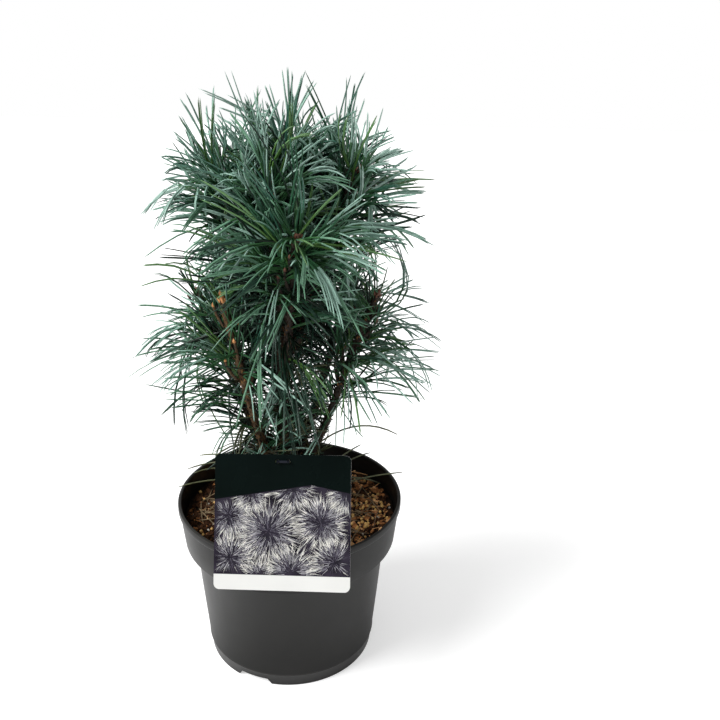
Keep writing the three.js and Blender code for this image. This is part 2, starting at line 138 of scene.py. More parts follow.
# Looks only
STEM_SPRAYS = {"low": 96, "high": 108}
TWIG_SPRAYS = {"low": 13, "high": 15}
OLD_SPRAYS = {"low": 46, "high": 14}  # on the bare bough, below the shoot's own foliage
SPRAY_NEEDLES = 5
STRANDS = np.array([  # which needles of a spray stay together
    (0, 0, 1, 1, 1),
    (0, 0, 1, 1, 2),
    (0, 1, 1, 2, 2),
])
NEEDLE_LENGTH = {"low": (78, 112), "high": (70, 100)}
OLD_LENGTH = (30, 78)
OLD_SLIMMER = 0.84
NEEDLE_RADIUS = {"low": (0.56, 0.86), "high": (0.62, 0.9)}
NEEDLE_SHAPE = (0.0, 0.12, 0.3, 0.5, 0.7, 0.86, 0.965)  # rings along a needle
NEEDLE_GIRTH = (0.6, 0.85, 1.0, 1.0, 1.0, 0.9, 0.6)  # and how thick each is
FOOT_RINGS = 3  # of those, how many have the fresher green of a needle's foot, which is also darker there as painted shade inside the spray
SPRAY_SPREAD = {"low": 0.17, "high": 0.12}
SPRAY_CLING = 0.35  # share of the spread that a spray has halfway along
BEND = 0.7
ARCH = 0.22  # how far the middle of a spray rises towards the shoot's tip
CURLED = 0.12  # share of the sprays that curl, and how much more than the rest
CURL = 3.2
ASTRAY = (0.6, 1.2)  # how much young and old sprays stray from their way
WIDE = 56  # degrees between which a spray's opening wanders
TURN_UP = 1.6  # how late along a stem the sprays turn to its tip
SAG = 0.27
TIP_OPENING = {"low": 2, "high": 17}  # more degrees at the free tips than the source's spikes
OVERLAP = 26  # how far needles may reach into the next shoot's space
SHORTEST = 0.56  # needles with less of their length free are left out
OLD_OVERLAP = {"low": 60, "high": 16}  # and how far old ones may
SHADED_HEART = (  # heights, and how far out most needles get painted shade: the darkest needle colours stand for the crown's shaded heart
    (200, 300, 420, 500),
    (44, 52, 50, 10),
)
SHADED = {"trunk": 0.3, "shoot": 0.62}  # share of those needles that get the painted shade
OLD_SHORTEST = 0.35
# Old sprays round the trunk, between heights
SLEEVE = dict(start=168, end=330, sprays=180, opening=50)
ORANGE_STEMS = ("low_left",)
SHOWN_STEMS = (  # stretches of stem that show, between heights
    ("low_left", 232, 384),
    ("low_right", 330, 384),
    ("low_right", 246, 285),
)
SHOWN = 0.78  # share of the needles that keep clear of the view of those stretches
VIEW = dict(ahead=5, aside=4)  # how near a needle hides a stem
COLOUR_SHIFT = {"low_right": 0.25, "low_back_right": 0.2, "high_front": -0.25}  # shift of each shoot's colours: plus moves them towards those of a stem's tip, minus towards those of its foot
CLEAR = dict(bark=1, card=2, tie=2.2, rim=3)  # how far needles stay off
MOUTH = dict(radius=96, height=162)  # in the pot they stay above this height
# Heights above which sprays grow on the front shoot, and below which they grow to the front
FRONT_SPRAYS = dict(upward=370, sideways=385, hanging=430, ahead=395)
RIGHT_SPRAYS = 335  # below this height the low right shoot has sprays in front
SOIL_BITS = dict(chips=4200, fibres=110, prills=110, cluster=70, perlite=90, needles=130)
CLUSTER = (68, -4, 0)  # where more prills lie
AXIS = 0.01  # radius of a turned shape's ends
UPRIGHT = np.array([0, 0, 1.0])


# Numbers

def chance(seed):
    x = np.sin(np.asarray(seed, float) * 12.9898 + 78.233) * 43758.5453
    return x - np.floor(x)


def mix(a, b, t):
    return a + (b - a) * t


def around(azimuth):
    a = radians(azimuth)
    return np.array([cos(a), sin(a), 0.0])


def norm(v):
    return np.linalg.norm(v, axis=-1)


def unit(v):
    return v / norm(v)[..., None]


def rank(limits, value):
    """How many of the rising limits a value has passed."""
    return int(np.searchsorted(limits, value))


def turns(count):
    """Angles of even steps round a circle."""
    return np.arange(count) * 2 * pi / count


def circle(count, radius):
    return [(radius * cos(a), radius * sin(a)) for a in turns(count)]


def sideways(ahead, spin):
    """Directions square to a limb's own, turned round it."""
    side = unit(np.cross(ahead, (0.3, 1, 0)))
    return side * np.cos(spin)[..., None] + np.cross(ahead, side) * np.sin(spin)[..., None]


def on_curve(points, t):
    """Points of a Bezier curve at shares t of it."""
    t = np.atleast_1d(np.asarray(t, float))[..., None]
    n = len(points) - 1
    return sum(comb(n, k) * (1 - t) ** (n - k) * t**k * points[k] for k in range(n + 1))


def along(points, t):
    """The curve's unit directions at the same shares."""
    return unit(on_curve(np.diff(np.asarray(points, float), axis=0), t))


def length_of(points):
    spots = on_curve(points, np.linspace(0, 1, 60))
    return norm(np.diff(spots, axis=0)).sum()


# Pieces

def add_object(name, data):
    thing = bpy.data.objects.new(name, data)
    bpy.context.collection.objects.link(thing)
    return thing


def add_piece(name, spots, faces, materials, picks=None, smooth=True):
    """A mesh object from points in millimetres. picks gives each face's material by its place."""
    mesh = bpy.data.meshes.new(name)
    mesh.from_pydata((np.asarray(spots) * MM).tolist(), [], [list(f) for f in faces])
    for material in materials:
        mesh.materials.append(material)
    if picks is not None:
        mesh.polygons.foreach_set("material_index", np.asarray(picks, np.int32))
    mesh.polygons.foreach_set("use_smooth", np.full(len(mesh.polygons), smooth))
    mesh.update()
    return add_object(name, mesh)


def settle(piece, slot, *nodes):
    """Fixes a finished piece to the part."""
    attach(piece, "root")
    if nodes:
        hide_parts(*nodes)
    return piece


class Heap:
    """Many small shapes gathered into one mesh."""

    def __init__(self):
        self.spots, self.faces, self.picks, self.count = [], [], [], 0

    def add(self, spots, faces, pick=0):
        self.spots.append(np.asarray(spots, float).reshape(-1, 3))
        self.faces.extend([[i + self.count for i in face] for face in faces])
        self.picks.extend([pick] * len(faces))
        self.count += len(self.spots[-1])

    def piece(self, name, materials, smooth=True):
        return add_piece(name, np.concatenate(self.spots), self.faces, materials, self.picks, smooth)


def side_faces(rings, sides, loop=False):
    """Faces between rings that follow one another. In a loop the last meets the first."""
    faces = []
    for i in range(rings if loop else rings - 1):
        low, high = i * sides, (i + 1) % rings * sides
        for j in range(sides):
            k = (j + 1) % sides
            faces.append((low + j, low + k, high + k, high + j))
    return faces


def tube_faces(rings, sides):
    """The same with both ends closed."""
    ends = [tuple(reversed(range(sides))), tuple((rings - 1) * sides + j for j in range(sides))]
    return side_faces(rings, sides) + ends


def tube(centres, ahead, radii, sides, side):
    """Points of a tube. radii holds one number a ring, or one for each corner."""
    across = unit(np.cross(ahead, np.asarray(side, float)))
    third = np.cross(ahead, across)
    turn = turns(sides)[None, :, None]
    ring = across[:, None] * np.cos(turn) + third[:, None] * np.sin(turn)
    radii = np.asarray(radii, float)
    radii = radii[:, None, None] if radii.ndim == 1 else radii[:, :, None]
    return (centres[:, None] + ring * radii).reshape(-1, 3)


def tube_along(curve, shares, radii, sides, side=(0.1, 0.2, 1)):
    """Points and faces of a tube along a curve."""
    spots = tube(on_curve(curve, shares), along(curve, shares), radii, sides, side)
    return spots, tube_faces(len(shares), sides)


def thread(curve, radii, sides):
    """The same with its rings evenly along the whole curve."""
    return tube_along(curve, np.linspace(0, 1, len(radii)), radii, sides)


def lathe(profile, sides):
    """Points and faces of a turned shape. The profile may start and end on the axis."""
    spots = [(x, y, z) for r, z in profile for x, y in circle(sides, r)]
    return spots, tube_faces(len(profile), sides)


def prism(name, outline, depth, axes, foot):
    """A straight solid on an outline, with its own axes."""
    low = [foot + axes[0] * x + axes[1] * y for x, y in outline]
    high = [spot + axes[2] * depth for spot in low]
    return add_piece(name, low + high, tube_faces(2, len(outline)), [], smooth=False)


def cut_away(piece, cutters):
    """Cuts the shapes out of a piece and removes them."""
    for cutter in cutters:
        cut = piece.modifiers.new("cut", "BOOLEAN")
        cut.operation = "DIFFERENCE"
        cut.object = cutter
    bpy.context.view_layer.update()
    finished = piece.evaluated_get(bpy.context.evaluated_depsgraph_get())
    shape = bpy.data.meshes.new_from_object(finished)
    piece.modifiers.clear()
    piece.data = shape
    for cutter in cutters:
        bpy.data.objects.remove(cutter)


def sharp_edges(piece, degrees):
    """Smooth shading that breaks at sharp edges."""
    piece.data.polygons.foreach_set("use_smooth", np.full(len(piece.data.polygons), True))
    piece.data.set_sharp_from_angle(angle=radians(degrees))


# Materials: each is built from nodes on object coordinates

def fill(tree, node, **values):
    """Links a node's inputs to sockets, or gives them numbers and colours."""
    for name, value in values.items():
        socket = node.inputs[name.replace("_", " ")]
        if isinstance(value, bpy.types.NodeSocket):
            tree.links.new(value, socket)
        else:
            socket.default_value = value
    return node


def new_node(tree, kind, **values):
    return fill(tree, tree.nodes.new(kind), **values)


class Look:
    """A procedural material under construction."""

    def __init__(self, name):
        self.material = bpy.data.materials.new(name)
        self.material.use_nodes = True
        self.tree = self.material.node_tree
        self.place = new_node(self.tree, "ShaderNodeTexCoord").outputs["Object"]

    def noise(self, scale, detail=4.0, roughness=0.55, stretch=None):
        place = self.place
        if stretch:
            mapping = new_node(self.tree, "ShaderNodeMapping", Vector=place, Scale=stretch)
            place = mapping.outputs["Vector"]
        values = dict(Scale=scale, Detail=detail, Roughness=roughness, Vector=place)
        return new_node(self.tree, "ShaderNodeTexNoise", **values).outputs["Fac"]

    def ramp(self, value, stops):
        node = new_node(self.tree, "ShaderNodeValToRGB", Fac=value)
        elements = node.color_ramp.elements
        while len(elements) < len(stops):
            elements.new(0.5)
        for element, (place, colour) in zip(elements, stops):
            element.position = place
            element.color = (*colour, 1)
        return node.outputs["Color"]

    def tint(self, value, colour, spread, high=0.7):
        """A colour that a value makes darker and lighter."""
        return self.ramp(value, [(0.3, shade(colour, 1 - spread)), (high, shade(colour, 1 + spread))])

    def range(self, value, low, high):
        node = new_node(self.tree, "ShaderNodeMapRange", Value=value, To_Min=low, To_Max=high)
        return node.outputs["Result"]

    def bump(self, height, distance):
        node = new_node(self.tree, "ShaderNodeBump", Height=height, Distance=distance * MM, Strength=1)
        self.set(Normal=node.outputs["Normal"])

    def set(self, **values):
        fill(self.tree, self.tree.nodes["Principled BSDF"], **values)


def shade(colour, share):
    return tuple(c * share for c in colour)


def varied(name, colour, spread, scale, roughness, gloss=0.5, bump=0.0, bump_scale=None):
    """One colour that noise makes darker and lighter."""
    look = Look(name)
    look.set(
        Base_Color=look.tint(look.noise(scale), colour, spread),
        Roughness=look.range(look.noise(scale * 2), *roughness),
        Specular_IOR_Level=gloss,
    )
    if bump:
        look.bump(look.noise(bump_scale or scale * 3, 8), bump)
    return look.material


def pot_plastic(name, more):
    look = Look(name)
    cloud = look.noise(18, 6)
    dark, pale = (0.0074, 0.0073, 0.0068), (0.0116, 0.0112, 0.0103)
    look.set(
        Base_Color=look.ramp(cloud, [(0.35, shade(dark, more)), (0.7, shade(pale, more))]),
        Roughness=look.range(look.noise(60, 8, 0.7, (1, 1, 0.25)), 0.3, 0.42),
        Specular_IOR_Level=0.24,
    )
    look.bump(look.noise(900, 3), 0.05)
    return look.material


def needle_look(name, colour):
    look = Look(name)
    look.set(
        Base_Color=look.tint(look.noise(55, 3), colour, 0.28, 0.72),
        Roughness=look.range(look.noise(140), 0.28, 0.46),
        Specular_IOR_Level=0.33,
    )
    return look.material


def ground_look(name, colour, spread):
    return varied(name, colour, spread, 200, (0.85, 1.0), 0.12, 0.5, 500)


def scale_look(name, colour):
    return varied(name, colour, 0.5, 160, (0.7, 0.9), 0.2)


def bud_look(name, colour, spread, roughness):
    return varied(name, colour, spread, 260, roughness, bump=0.2)


def blade_look(name, colour):
    return varied(name, colour, 0.2, 90, (0.28, 0.34), 0.1)


def bark_look(name, dark, pale):
    look = Look(name)
    flakes = look.noise(420, 8, 0.65, (1, 1, 0.4))
    look.set(
        Base_Color=look.ramp(flakes, [(0.32, dark), (0.55, pale), (0.8, shade(pale, 1.5))]),
        Roughness=look.range(flakes, 0.65, 0.95),
    )
    look.bump(look.noise(700, 6, 0.6, (1, 1, 0.5)), 0.5)
    return look.material


POT_PLASTIC = pot_plastic("pot_plastic", 1)
# Painted highlight: a lighter plastic for the rim's top and the mould bead
POT_PAINTED_HIGHLIGHT = pot_plastic("pot_painted_highlight", 2.4)
NEEDLE_COLOURS = (
    ("blue", (0.038, 0.126, 0.084), (0.27, 0.44, 0.36), (0.028, 0.1, 0.042)),
    ("green", (0.028, 0.1, 0.052), (0.125, 0.265, 0.17), (0.028, 0.1, 0.032)),
    # The deep kind: the dark green of old needles, and also painted shade where it stands for the
    # crown's dark inside
    ("deep", (0.004, 0.018, 0.01), (0.015, 0.048, 0.03), (0.004, 0.014, 0.006)),
    ("fresh", (0.064, 0.155, 0.042), (0.115, 0.23, 0.09), (0.07, 0.16, 0.036)),
    ("olive", (0.048, 0.06, 0.026), (0.09, 0.104, 0.054), (0.056, 0.048, 0.02)),
    # The pale kind: the glaucous blue of young tips, and also a painted highlight
    ("pale", (0.124, 0.246, 0.192), (0.34, 0.5, 0.43), (0.06, 0.15, 0.07)),
)
NEEDLE_LOOKS = [
    needle_look(f"needle_{kind}_{side}", colour)
    for kind, *colours in NEEDLE_COLOURS
    for side, colour in zip(("outer", "inner", "foot"), colours)
]
BLUE, GREEN, DEEP_AND_SHADE, FRESH, OLIVE, PALE_AND_HIGHLIGHT = range(len(NEEDLE_COLOURS))
# The bark's colour is darkened as painted shade of the needles over the trunk and stems
BARK_AND_SHADE = bark_look("bark", (0.009, 0.007, 0.005), (0.034, 0.023, 0.014))
YOUNG_BARK = bark_look("young_bark", (0.016, 0.01, 0.005), (0.098, 0.054, 0.02))
SCALE_LOOKS = [
    scale_look("scale_tan", (0.25, 0.132, 0.046)),
    scale_look("scale_brown", (0.12, 0.055, 0.02)),
    scale_look("scale_dark", (0.024, 0.012, 0.007)),
]
BUD_TAN = bud_look("bud_tan", (0.56, 0.25, 0.09), 0.3, (0.5, 0.75))
BUD_RED = bud_look("bud_red", (0.15, 0.062, 0.036), 0.5, (0.45, 0.7))
EARTH = ground_look("earth", (0.012, 0.006, 0.003), 0.5)
CHIP_LOOKS = [
    ground_look("chip_dark", (0.052, 0.022, 0.01), 0.5),
    ground_look("chip_brown", (0.33, 0.14, 0.052), 0.5),
    ground_look("chip_tan", (0.8, 0.45, 0.21), 0.3),
]
PRILL = varied("feed_prill", (0.66, 0.4, 0.13), 0.4, 130, (0.3, 0.5))
PERLITE = varied("perlite", (0.7, 0.67, 0.61), 0.12, 300, (0.85, 0.95), bump=0.3)
DRY_NEEDLE = varied("dry_needle", (0.21, 0.15, 0.08), 0.45, 120, (0.55, 0.75))
RIM_NEEDLE = varied("rim_needle", (0.15, 0.165, 0.085), 0.45, 60, (0.4, 0.55))
CARD_BAND = varied("card_band", (0.0022, 0.005, 0.0044), 0.15, 30, (0.24, 0.3), 0.04)
CARD_WHITE = varied("card_white", (0.69, 0.69, 0.668), 0.02, 30, (0.3, 0.36), 0.2)
CARD_GROUND = varied("card_ground", (0.022, 0.018, 0.028), 0.6, 70, (0.28, 0.34), 0.1)
BLADE_LOOKS = [
    blade_look("blade_cream", (0.7, 0.69, 0.63)),
    blade_look("blade_silver", (0.32, 0.316, 0.334)),
    blade_look("blade_violet", (0.095, 0.087, 0.114)),
    blade_look("blade_shade", (0.02, 0.018, 0.026)),
]
TIE_PLASTIC = varied("tie_plastic", (0.005, 0.007, 0.014), 0.2, 80, (0.4, 0.5), 0.2)
OLD_KINDS = ((0.34, 0.5, 0.7), (OLIVE, DEEP_AND_SHADE, GREEN, BLUE))  # limits by luck
YOUNG_KINDS = ((0.05, 0.42, 0.75), (PALE_AND_HIGHLIGHT, BLUE, GREEN, DEEP_AND_SHADE))  # limits by age


# Limbs, by the source's rule

TRUNK_FOOT = SOIL_MOUND + GAP
TRUNK = np.array([
    (-3, 0, TRUNK_FOOT),
    (-3, 0, mix(TRUNK_FOOT, TRUNK_TOP, 1 / 3)),
    (-11.5, 2, mix(TRUNK_FOOT, TRUNK_TOP, 2 / 3)),
    (-4.5, 4, TRUNK_TOP),
], float)


def trunk_share(z):
    return (z - TRUNK_FOOT) / (TRUNK_TOP - TRUNK_FOOT)


def trunk_radius(t):
    flare = np.exp(-t * (TRUNK_TOP - TRUNK_FOOT) / FLARE_HEIGHT) * (FLARE_RADIUS - TRUNK_RADIUS)
    return mix(TRUNK_RADIUS, TRUNK_TOP_RADIUS, t) + flare


def shoot_radius(t):
    return mix(SHOOT_RADIUS, SHOOT_TIP_RADIUS, t)


def shoot_curve(shoot):
    foot = on_curve(TRUNK, min(1, trunk_share(shoot["leaves"])))[0]
    top = around(shoot["azimuth"]) * shoot["spread"] + (0, 0, shoot["tip"])
    out = (top - foot) * (1, 1, 0)
    rise = top[2] - foot[2]
    lean = radians(shoot["lean"])
    below = np.array([0, 0, cos(lean)]) + around(shoot["azimuth"]) * sin(lean)
    return np.array([foot, foot + out * 0.42 + (0, 0, rise * 0.2), top - below * rise * 0.42, top])


for shoot in SHOOTS:
    shoot["curve"] = shoot_curve(shoot)
    shoot["split"] = shoot["bare"] / length_of(shoot["curve"])

SITE_SHARES = np.linspace(0, 1, 31)
LIMBS = [("trunk", TRUNK, trunk_radius)] + [(s["name"], s["curve"], shoot_radius) for s in SHOOTS]
SITES = np.concatenate([on_curve(curve, SITE_SHARES) for _, curve, _ in LIMBS])
SITE_RADII = np.concatenate([radius(SITE_SHARES) for _, _, radius in LIMBS])
SITE_OWNERS = np.repeat([name for name, _, _ in LIMBS], len(SITE_SHARES))


def room_at(spots, owner):
    """How far each point is inside its owner's space, and how far from any other limb's bark."""
    gaps = norm(spots[:, None] - SITES[None])
    own = SITE_OWNERS == owner
    nearest = gaps[:, own].argmin(axis=1)
    own_gap = gaps[:, own][np.arange(len(spots)), nearest]
    between = norm(SITES[~own][None] - SITES[own][nearest][:, None])
    inside = (gaps[:, ~own] ** 2 - own_gap[:, None] ** 2) / (2 * between)
    return inside.min(axis=1), (gaps[:, ~own] - SITE_RADII[~own]).min(axis=1)


def card_frame():
    """The card's own axes and the middle of its foot."""
    lean, turn, roll = (radians(CARD[k]) for k in ("lean", "turn", "roll"))
    tilt = pi / 2 - lean
    about_x = np.array([
        [1, 0, 0],
        [0, cos(tilt), -sin(tilt)],
        [0, sin(tilt), cos(tilt)],
    ])

    def about_z(a):
        return np.array([[cos(a), -sin(a), 0], [sin(a), cos(a), 0], [0, 0, 1]])

    axes = about_z(turn) @ about_x @ about_z(roll)
    right, up, front = axes.T
    rest = unit(front * (1, 1, 0)) * RIM_RADIUS + (0, 0, POT_HEIGHT - 1)
    foot = rest + front * 2 * GAP - up * CARD_BELOW
    return axes, foot + right * (CARD_ACROSS - foot[0]) / right[0]


CARD_AXES, CARD_FOOT = card_frame()


def on_card(x, y, depth=0.0):
    return CARD_FOOT + np.stack(np.broadcast_arrays(x, y, depth), -1) @ CARD_AXES.T


def tie_route():
    """The loop through both eyes and round the trunk, as in the source."""
    def eye(side, depth):
        return on_card(side * EYE["apart"] / 2, CARD["height"] - EYE["drop"], depth)

    share = trunk_share(TIE_HEIGHT)
    middle = on_curve(TRUNK, share)[0]
    reach = trunk_radius(share) + 0.8 + 3.5 * GAP
    front = CARD["thickness"]
    stops = [eye(-0.4, front + 2.6), eye(-1, front + 1.6), eye(-1, -1.8)]
    stops += [middle + around(a) * reach for a in (205, 150, 90, 30, 335)]
    stops += [eye(1, -1.8), eye(1, front + 1.6), eye(0.4, front + 2.6)]
    return smooth_loop(np.array(stops), 12)


def smooth_loop(stops, steps):
    """A closed Catmull-Rom curve through the stops."""
    spots = []
    n = len(stops)
    for i in range(n):
        a, b, c, d = (stops[(i + k) % n] for k in (-1, 0, 1, 2))
        for t in np.arange(steps) / steps:
            steep = 2 * a - 5 * b + 4 * c - d
            spots.append(b + 0.5 * t * (c - a + t * (steep + t * (3 * (b - c) + d - a))))
    return np.array(spots)


TIE = tie_route()


def clear_of_things(spots):
    """True where a needle's point is clear of the card, the tie, the pot and the soil."""
    x, y, depth = CARD_AXES.T @ (spots - CARD_FOOT).T
    over = (np.abs(x) < CARD_HALF + CLEAR["card"]) & (y < CARD["height"] + CLEAR["card"])
    near_card = over & (depth > -CLEAR["card"])
    near_tie = norm(spots[:, None] - TIE[None, ::4]).min(axis=1) < CLEAR["tie"]
    in_mouth = np.hypot(spots[:, 0], spots[:, 1]) < MOUTH["radius"]
    low = spots[:, 2] < np.where(in_mouth, MOUTH["height"], POT_HEIGHT + CLEAR["rim"])
    return ~near_card & ~near_tie & ~low


def in_crown(spots, more):
    """Inside the crown's uneven reach and a little more, and above its hem."""
    x, y, z = spots.T
    far = np.hypot(x - CROWN_MIDDLE, y)
    side = (x - CROWN_MIDDLE) / np.maximum(far, 1)
    left, right, depth = (np.interp(z, CROWN_ROWS[:, 0], CROWN_ROWS[:, k]) for k in (1, 2, 3))
    depth = np.where(y < 0, depth, np.minimum(depth, (left + right) / 2 + BACK_DEEPER))
    reach = mix(depth, np.where(side < 0, left, right), side**2) + more
    inside = far < np.minimum(reach, CROWN_WIDEST)
    under = (z + TOP_SLOPE * y < np.interp(x, *CROWN_TOPS) + more * MORE_UP) & (z < CROWN_TOP)
    return inside & under & (z > np.interp(x, *HEM) - more * MORE_DOWN)


def hides_stem(spots):
    """True where a point is in front of a stretch of stem that the photograph shows."""
    hidden = np.zeros(len(spots), bool)
    for name, low, high in SHOWN_STEMS:
        curve = next(shoot["curve"] for shoot in SHOOTS if shoot["name"] == name)
        for place in on_curve(curve, np.linspace(0, 1, 41)):
            if low < place[2] < high:
                view = unit(np.array(CAMERA["place"]) - place)
                off = spots - place
                depth = off @ view
                aside = norm(off - depth[:, None] * view)
                hidden |= (depth > VIEW["ahead"]) & (aside < VIEW["aside"])
    return hidden


# Where needles get painted shade, deep in the crown
def in_shaded_heart(spots):
    return np.hypot(spots[:, 0], spots[:, 1]) < np.interp(spots[:, 2], *SHADED_HEART)


# Needles

def stray(seeds, size):
    return np.stack([chance(seeds + q) - 0.5 for q in (0.11, 0.22, 0.33)], -1) * size


def spray_ways(ahead, seeds, spins, openings, astray):
    """The direction in which each spray leaves its stem."""
    way = ahead * np.cos(openings)[:, None] + sideways(ahead, spins) * np.sin(openings)[:, None]
    return unit(way + stray(seeds + 5, astray))


def sprays(stem, way, rise, seeds, lengths, spread):
    """The curves of all needles of the sprays: they cling at first and part towards the tips."""
    bend = stray(seeds, BEND) * np.where(chance(seeds + 0.17) < CURLED, CURL, 1)[:, None]
    level = np.hypot(way[:, 0], way[:, 1])
    bend[:, 2] -= SAG * (0.5 + chance(seeds + 0.2)) * level**2
    a = unit(np.cross(way, (0.2, 0.3, 1)))
    b = np.cross(way, a)
    openness = spread * (0.4 + chance(seeds + 0.9))
    parting = (chance(seeds + 0.95) * len(STRANDS)).astype(int)
    curves = []
    for k in range(SPRAY_NEEDLES):
        own = seeds + 0.013 * (k + 1)
        strand = STRANDS[parting, k]
        fan = 2.1 * strand + 6 * chance(seeds + 0.71)
        lean = a * np.cos(fan)[:, None] + b * np.sin(fan)[:, None]
        lean *= (openness * (0.5 + chance(seeds + 0.37 * strand)))[:, None]
        place = 2 * pi * k / SPRAY_NEEDLES
        root = stem + (a * cos(place) + b * sin(place)) * 0.42
        long = mix(*lengths, chance(seeds + 0.6)) * (0.94 + 0.08 * chance(own + 0.3))
        long = (long * (1 - 0.14 * chance(seeds + 0.53 * strand)))[:, None]
        middle = root + (way + rise + lean * SPRAY_CLING) * 0.52 * long
        end = root + (way + lean + bend + stray(own, 0.014)) * long
        curves.append(np.stack([root, middle, end], 1))
    return np.concatenate(curves)


def cut_to_space(curves, seeds, owner, overlap):
    """The share of each needle that stays in its space and in the crown and touches nothing."""
    shares = np.linspace(0.1, 1, 11)
    spots = np.stack([quadratic(curves, t) for t in shares], 1)
    flat = spots.reshape(-1, 3)
    inside, off_bark = room_at(flat, owner)
    luck = np.tile(chance(seeds + 0.29), SPRAY_NEEDLES)
    longest = LONGEST[tier_of(owner)] * np.clip(luck * 3 - 2, 0, 1)
    above = (flat[:, 2] - LONG_ABOVE["start"]) / LONG_ABOVE["depth"]
    more = np.repeat(UNEVEN * luck, len(shares))
    more += np.repeat(longest, len(shares)) * np.clip(above, LONG_ABOVE["least"], 1)
    fine = (inside > -overlap) & (off_bark > CLEAR["bark"])
    fine &= in_crown(flat, more) & clear_of_things(flat)
    fine &= ~(hides_stem(flat) & np.repeat(chance(curves[:, 2, 1]) < SHOWN, len(shares)))
    fine = fine.reshape(len(curves), -1)
    fine[:, 0] = True
    first_bad = np.where(fine.all(axis=1), len(shares), fine.argmin(axis=1))
    return np.where(first_bad == 0, 0, shares[np.maximum(first_bad - 1, 0)])


def quadratic(curves, t):
    a, b, c = curves[:, 0], curves[:, 1], curves[:, 2]
    t = np.asarray(t, float)
    t = t[:, None] if t.ndim else t
    return a * (1 - t) ** 2 + b * 2 * t * (1 - t) + c * t**2


def needle_meshes(curves, shares, outward, kinds, radii):
    """Three-sided needles: greener at the foot, then one colour outside and a paler one inside."""
    rings = []
    for place, girth in zip(NEEDLE_SHAPE, NEEDLE_GIRTH):
        t = place * shares
        centre = quadratic(curves, t)
        ahead = unit(mix(curves[:, 1] - curves[:, 0], curves[:, 2] - curves[:, 1], t[:, None]))
        out = unit(outward - ahead * (outward * ahead).sum(1, keepdims=True))
        third = np.cross(ahead, out)
        for a in (pi / 3, pi, pi * 5 / 3):
            rings.append(centre + (out * cos(a) + third * sin(a)) * radii[:, None] * girth)
    rings.append(quadratic(curves, shares))
    spots = np.stack(rings, 1)
    faces = side_faces(len(NEEDLE_SHAPE), 3)
    tip = 3 * len(NEEDLE_SHAPE)
    faces += [(tip - 3 + j, tip - 3 + (j + 1) % 3, tip, tip) for j in range(3)]
    tones = [2 if f < 3 * FOOT_RINGS else int(f % 3 != 2) for f in range(len(faces))]
    base = np.arange(len(curves))[:, None, None] * (tip + 1)
    all_faces = (base + np.array(faces)[None]).reshape(-1, 4)
    picks = (kinds[:, None] * 3 + np.array(tones)[None]).reshape(-1)
    tidy = [f[:3] if f[2] == f[3] else f for f in all_faces.tolist()]
    return spots.reshape(-1, 3), tidy, picks


def twig_curve(shoot, index, seed):
    share = (index + 0.3 + 0.4 * chance(seed)) / TWIGS["count"]
    share = mix(TWIGS["start"], TWIGS["end"], share)
    t = mix(shoot["split"], 1, share)
    root = on_curve(shoot["curve"], t)[0]
    ahead = along(shoot["curve"], t)[0]
    side = sideways(ahead, index * NEEDLE_STEP + 2 * pi * chance(seed + 0.5))
    leaves = radians(TWIGS["leaves"])
    way = ahead * cos(leaves) + side * sin(leaves)
    long = TWIGS["length"] * (0.75 + 0.4 * chance(seed + 0.8)) * (1.1 - 0.5 * share)
    elbow = root + way * long * 0.55
    return np.array([root, elbow, elbow + ahead * long * 0.5])


def grow(owner, curve, start, end, count, seed, openings, old=False):
    """All needles of one stem: their curves, shares, outward sides, colours and radii."""
    i = np.arange(count)
    seeds = seed + i.astype(float)
    share = np.clip((i + 0.35 + 0.6 * chance(seeds + 0.4)) / count, 0.02, 0.99)
    t = mix(start, end, share)
    opening = np.radians(mix(*openings, share**TURN_UP) + WIDE * (chance(seeds + 0.5) - 0.5))
    ahead = along(curve, t)
    way = spray_ways(ahead, seeds, i * NEEDLE_STEP, opening, ASTRAY[old])
    rise = ahead * (ARCH * 2 * chance(seeds + 0.66) * np.sin(opening))[:, None]
    foot = on_curve(curve, t)
    grown = spray_grows(owner, foot[:, 2], way, chance(seeds + 0.15))
    foot, share, seeds, way, rise = (column[grown] for column in (foot, share, seeds, way, rise))
    tier = tier_of(owner)
    lengths = OLD_LENGTH if old else NEEDLE_LENGTH[tier]
    curves = sprays(foot, way, rise, seeds, lengths, SPRAY_SPREAD[tier])
    shares = cut_to_space(curves, seeds, owner, OLD_OVERLAP[tier] if old else OVERLAP)
    kinds = np.tile(spray_kinds(share + COLOUR_SHIFT.get(owner, 0), seeds, old), SPRAY_NEEDLES)
    # Painted shade: most needles in the crown's heart take the darkest colours
    shaded_pick = np.tile(chance(seeds + 0.63), SPRAY_NEEDLES) < SHADED.get(owner, SHADED["shoot"])
    kinds = np.where(in_shaded_heart(quadratic(curves, 0.6)) & shaded_pick & (kinds != OLIVE), DEEP_AND_SHADE, kinds)
    radii = mix(*NEEDLE_RADIUS[tier], chance(seeds + 0.87)) * (OLD_SLIMMER if old else 1)
    outward = curves[:, 2] - curves[:, 0]
    outward -= np.tile(way, (SPRAY_NEEDLES, 1)) * norm(outward)[:, None] - 1e-3
    columns = (curves, shares, outward, kinds, np.tile(radii, SPRAY_NEEDLES))
    long = shares > (OLD_SHORTEST if old else SHORTEST)
    return [column[long] for column in columns]


def tier_of(owner):
    return "low" if owner == "trunk" or owner.startswith("low") else "high"


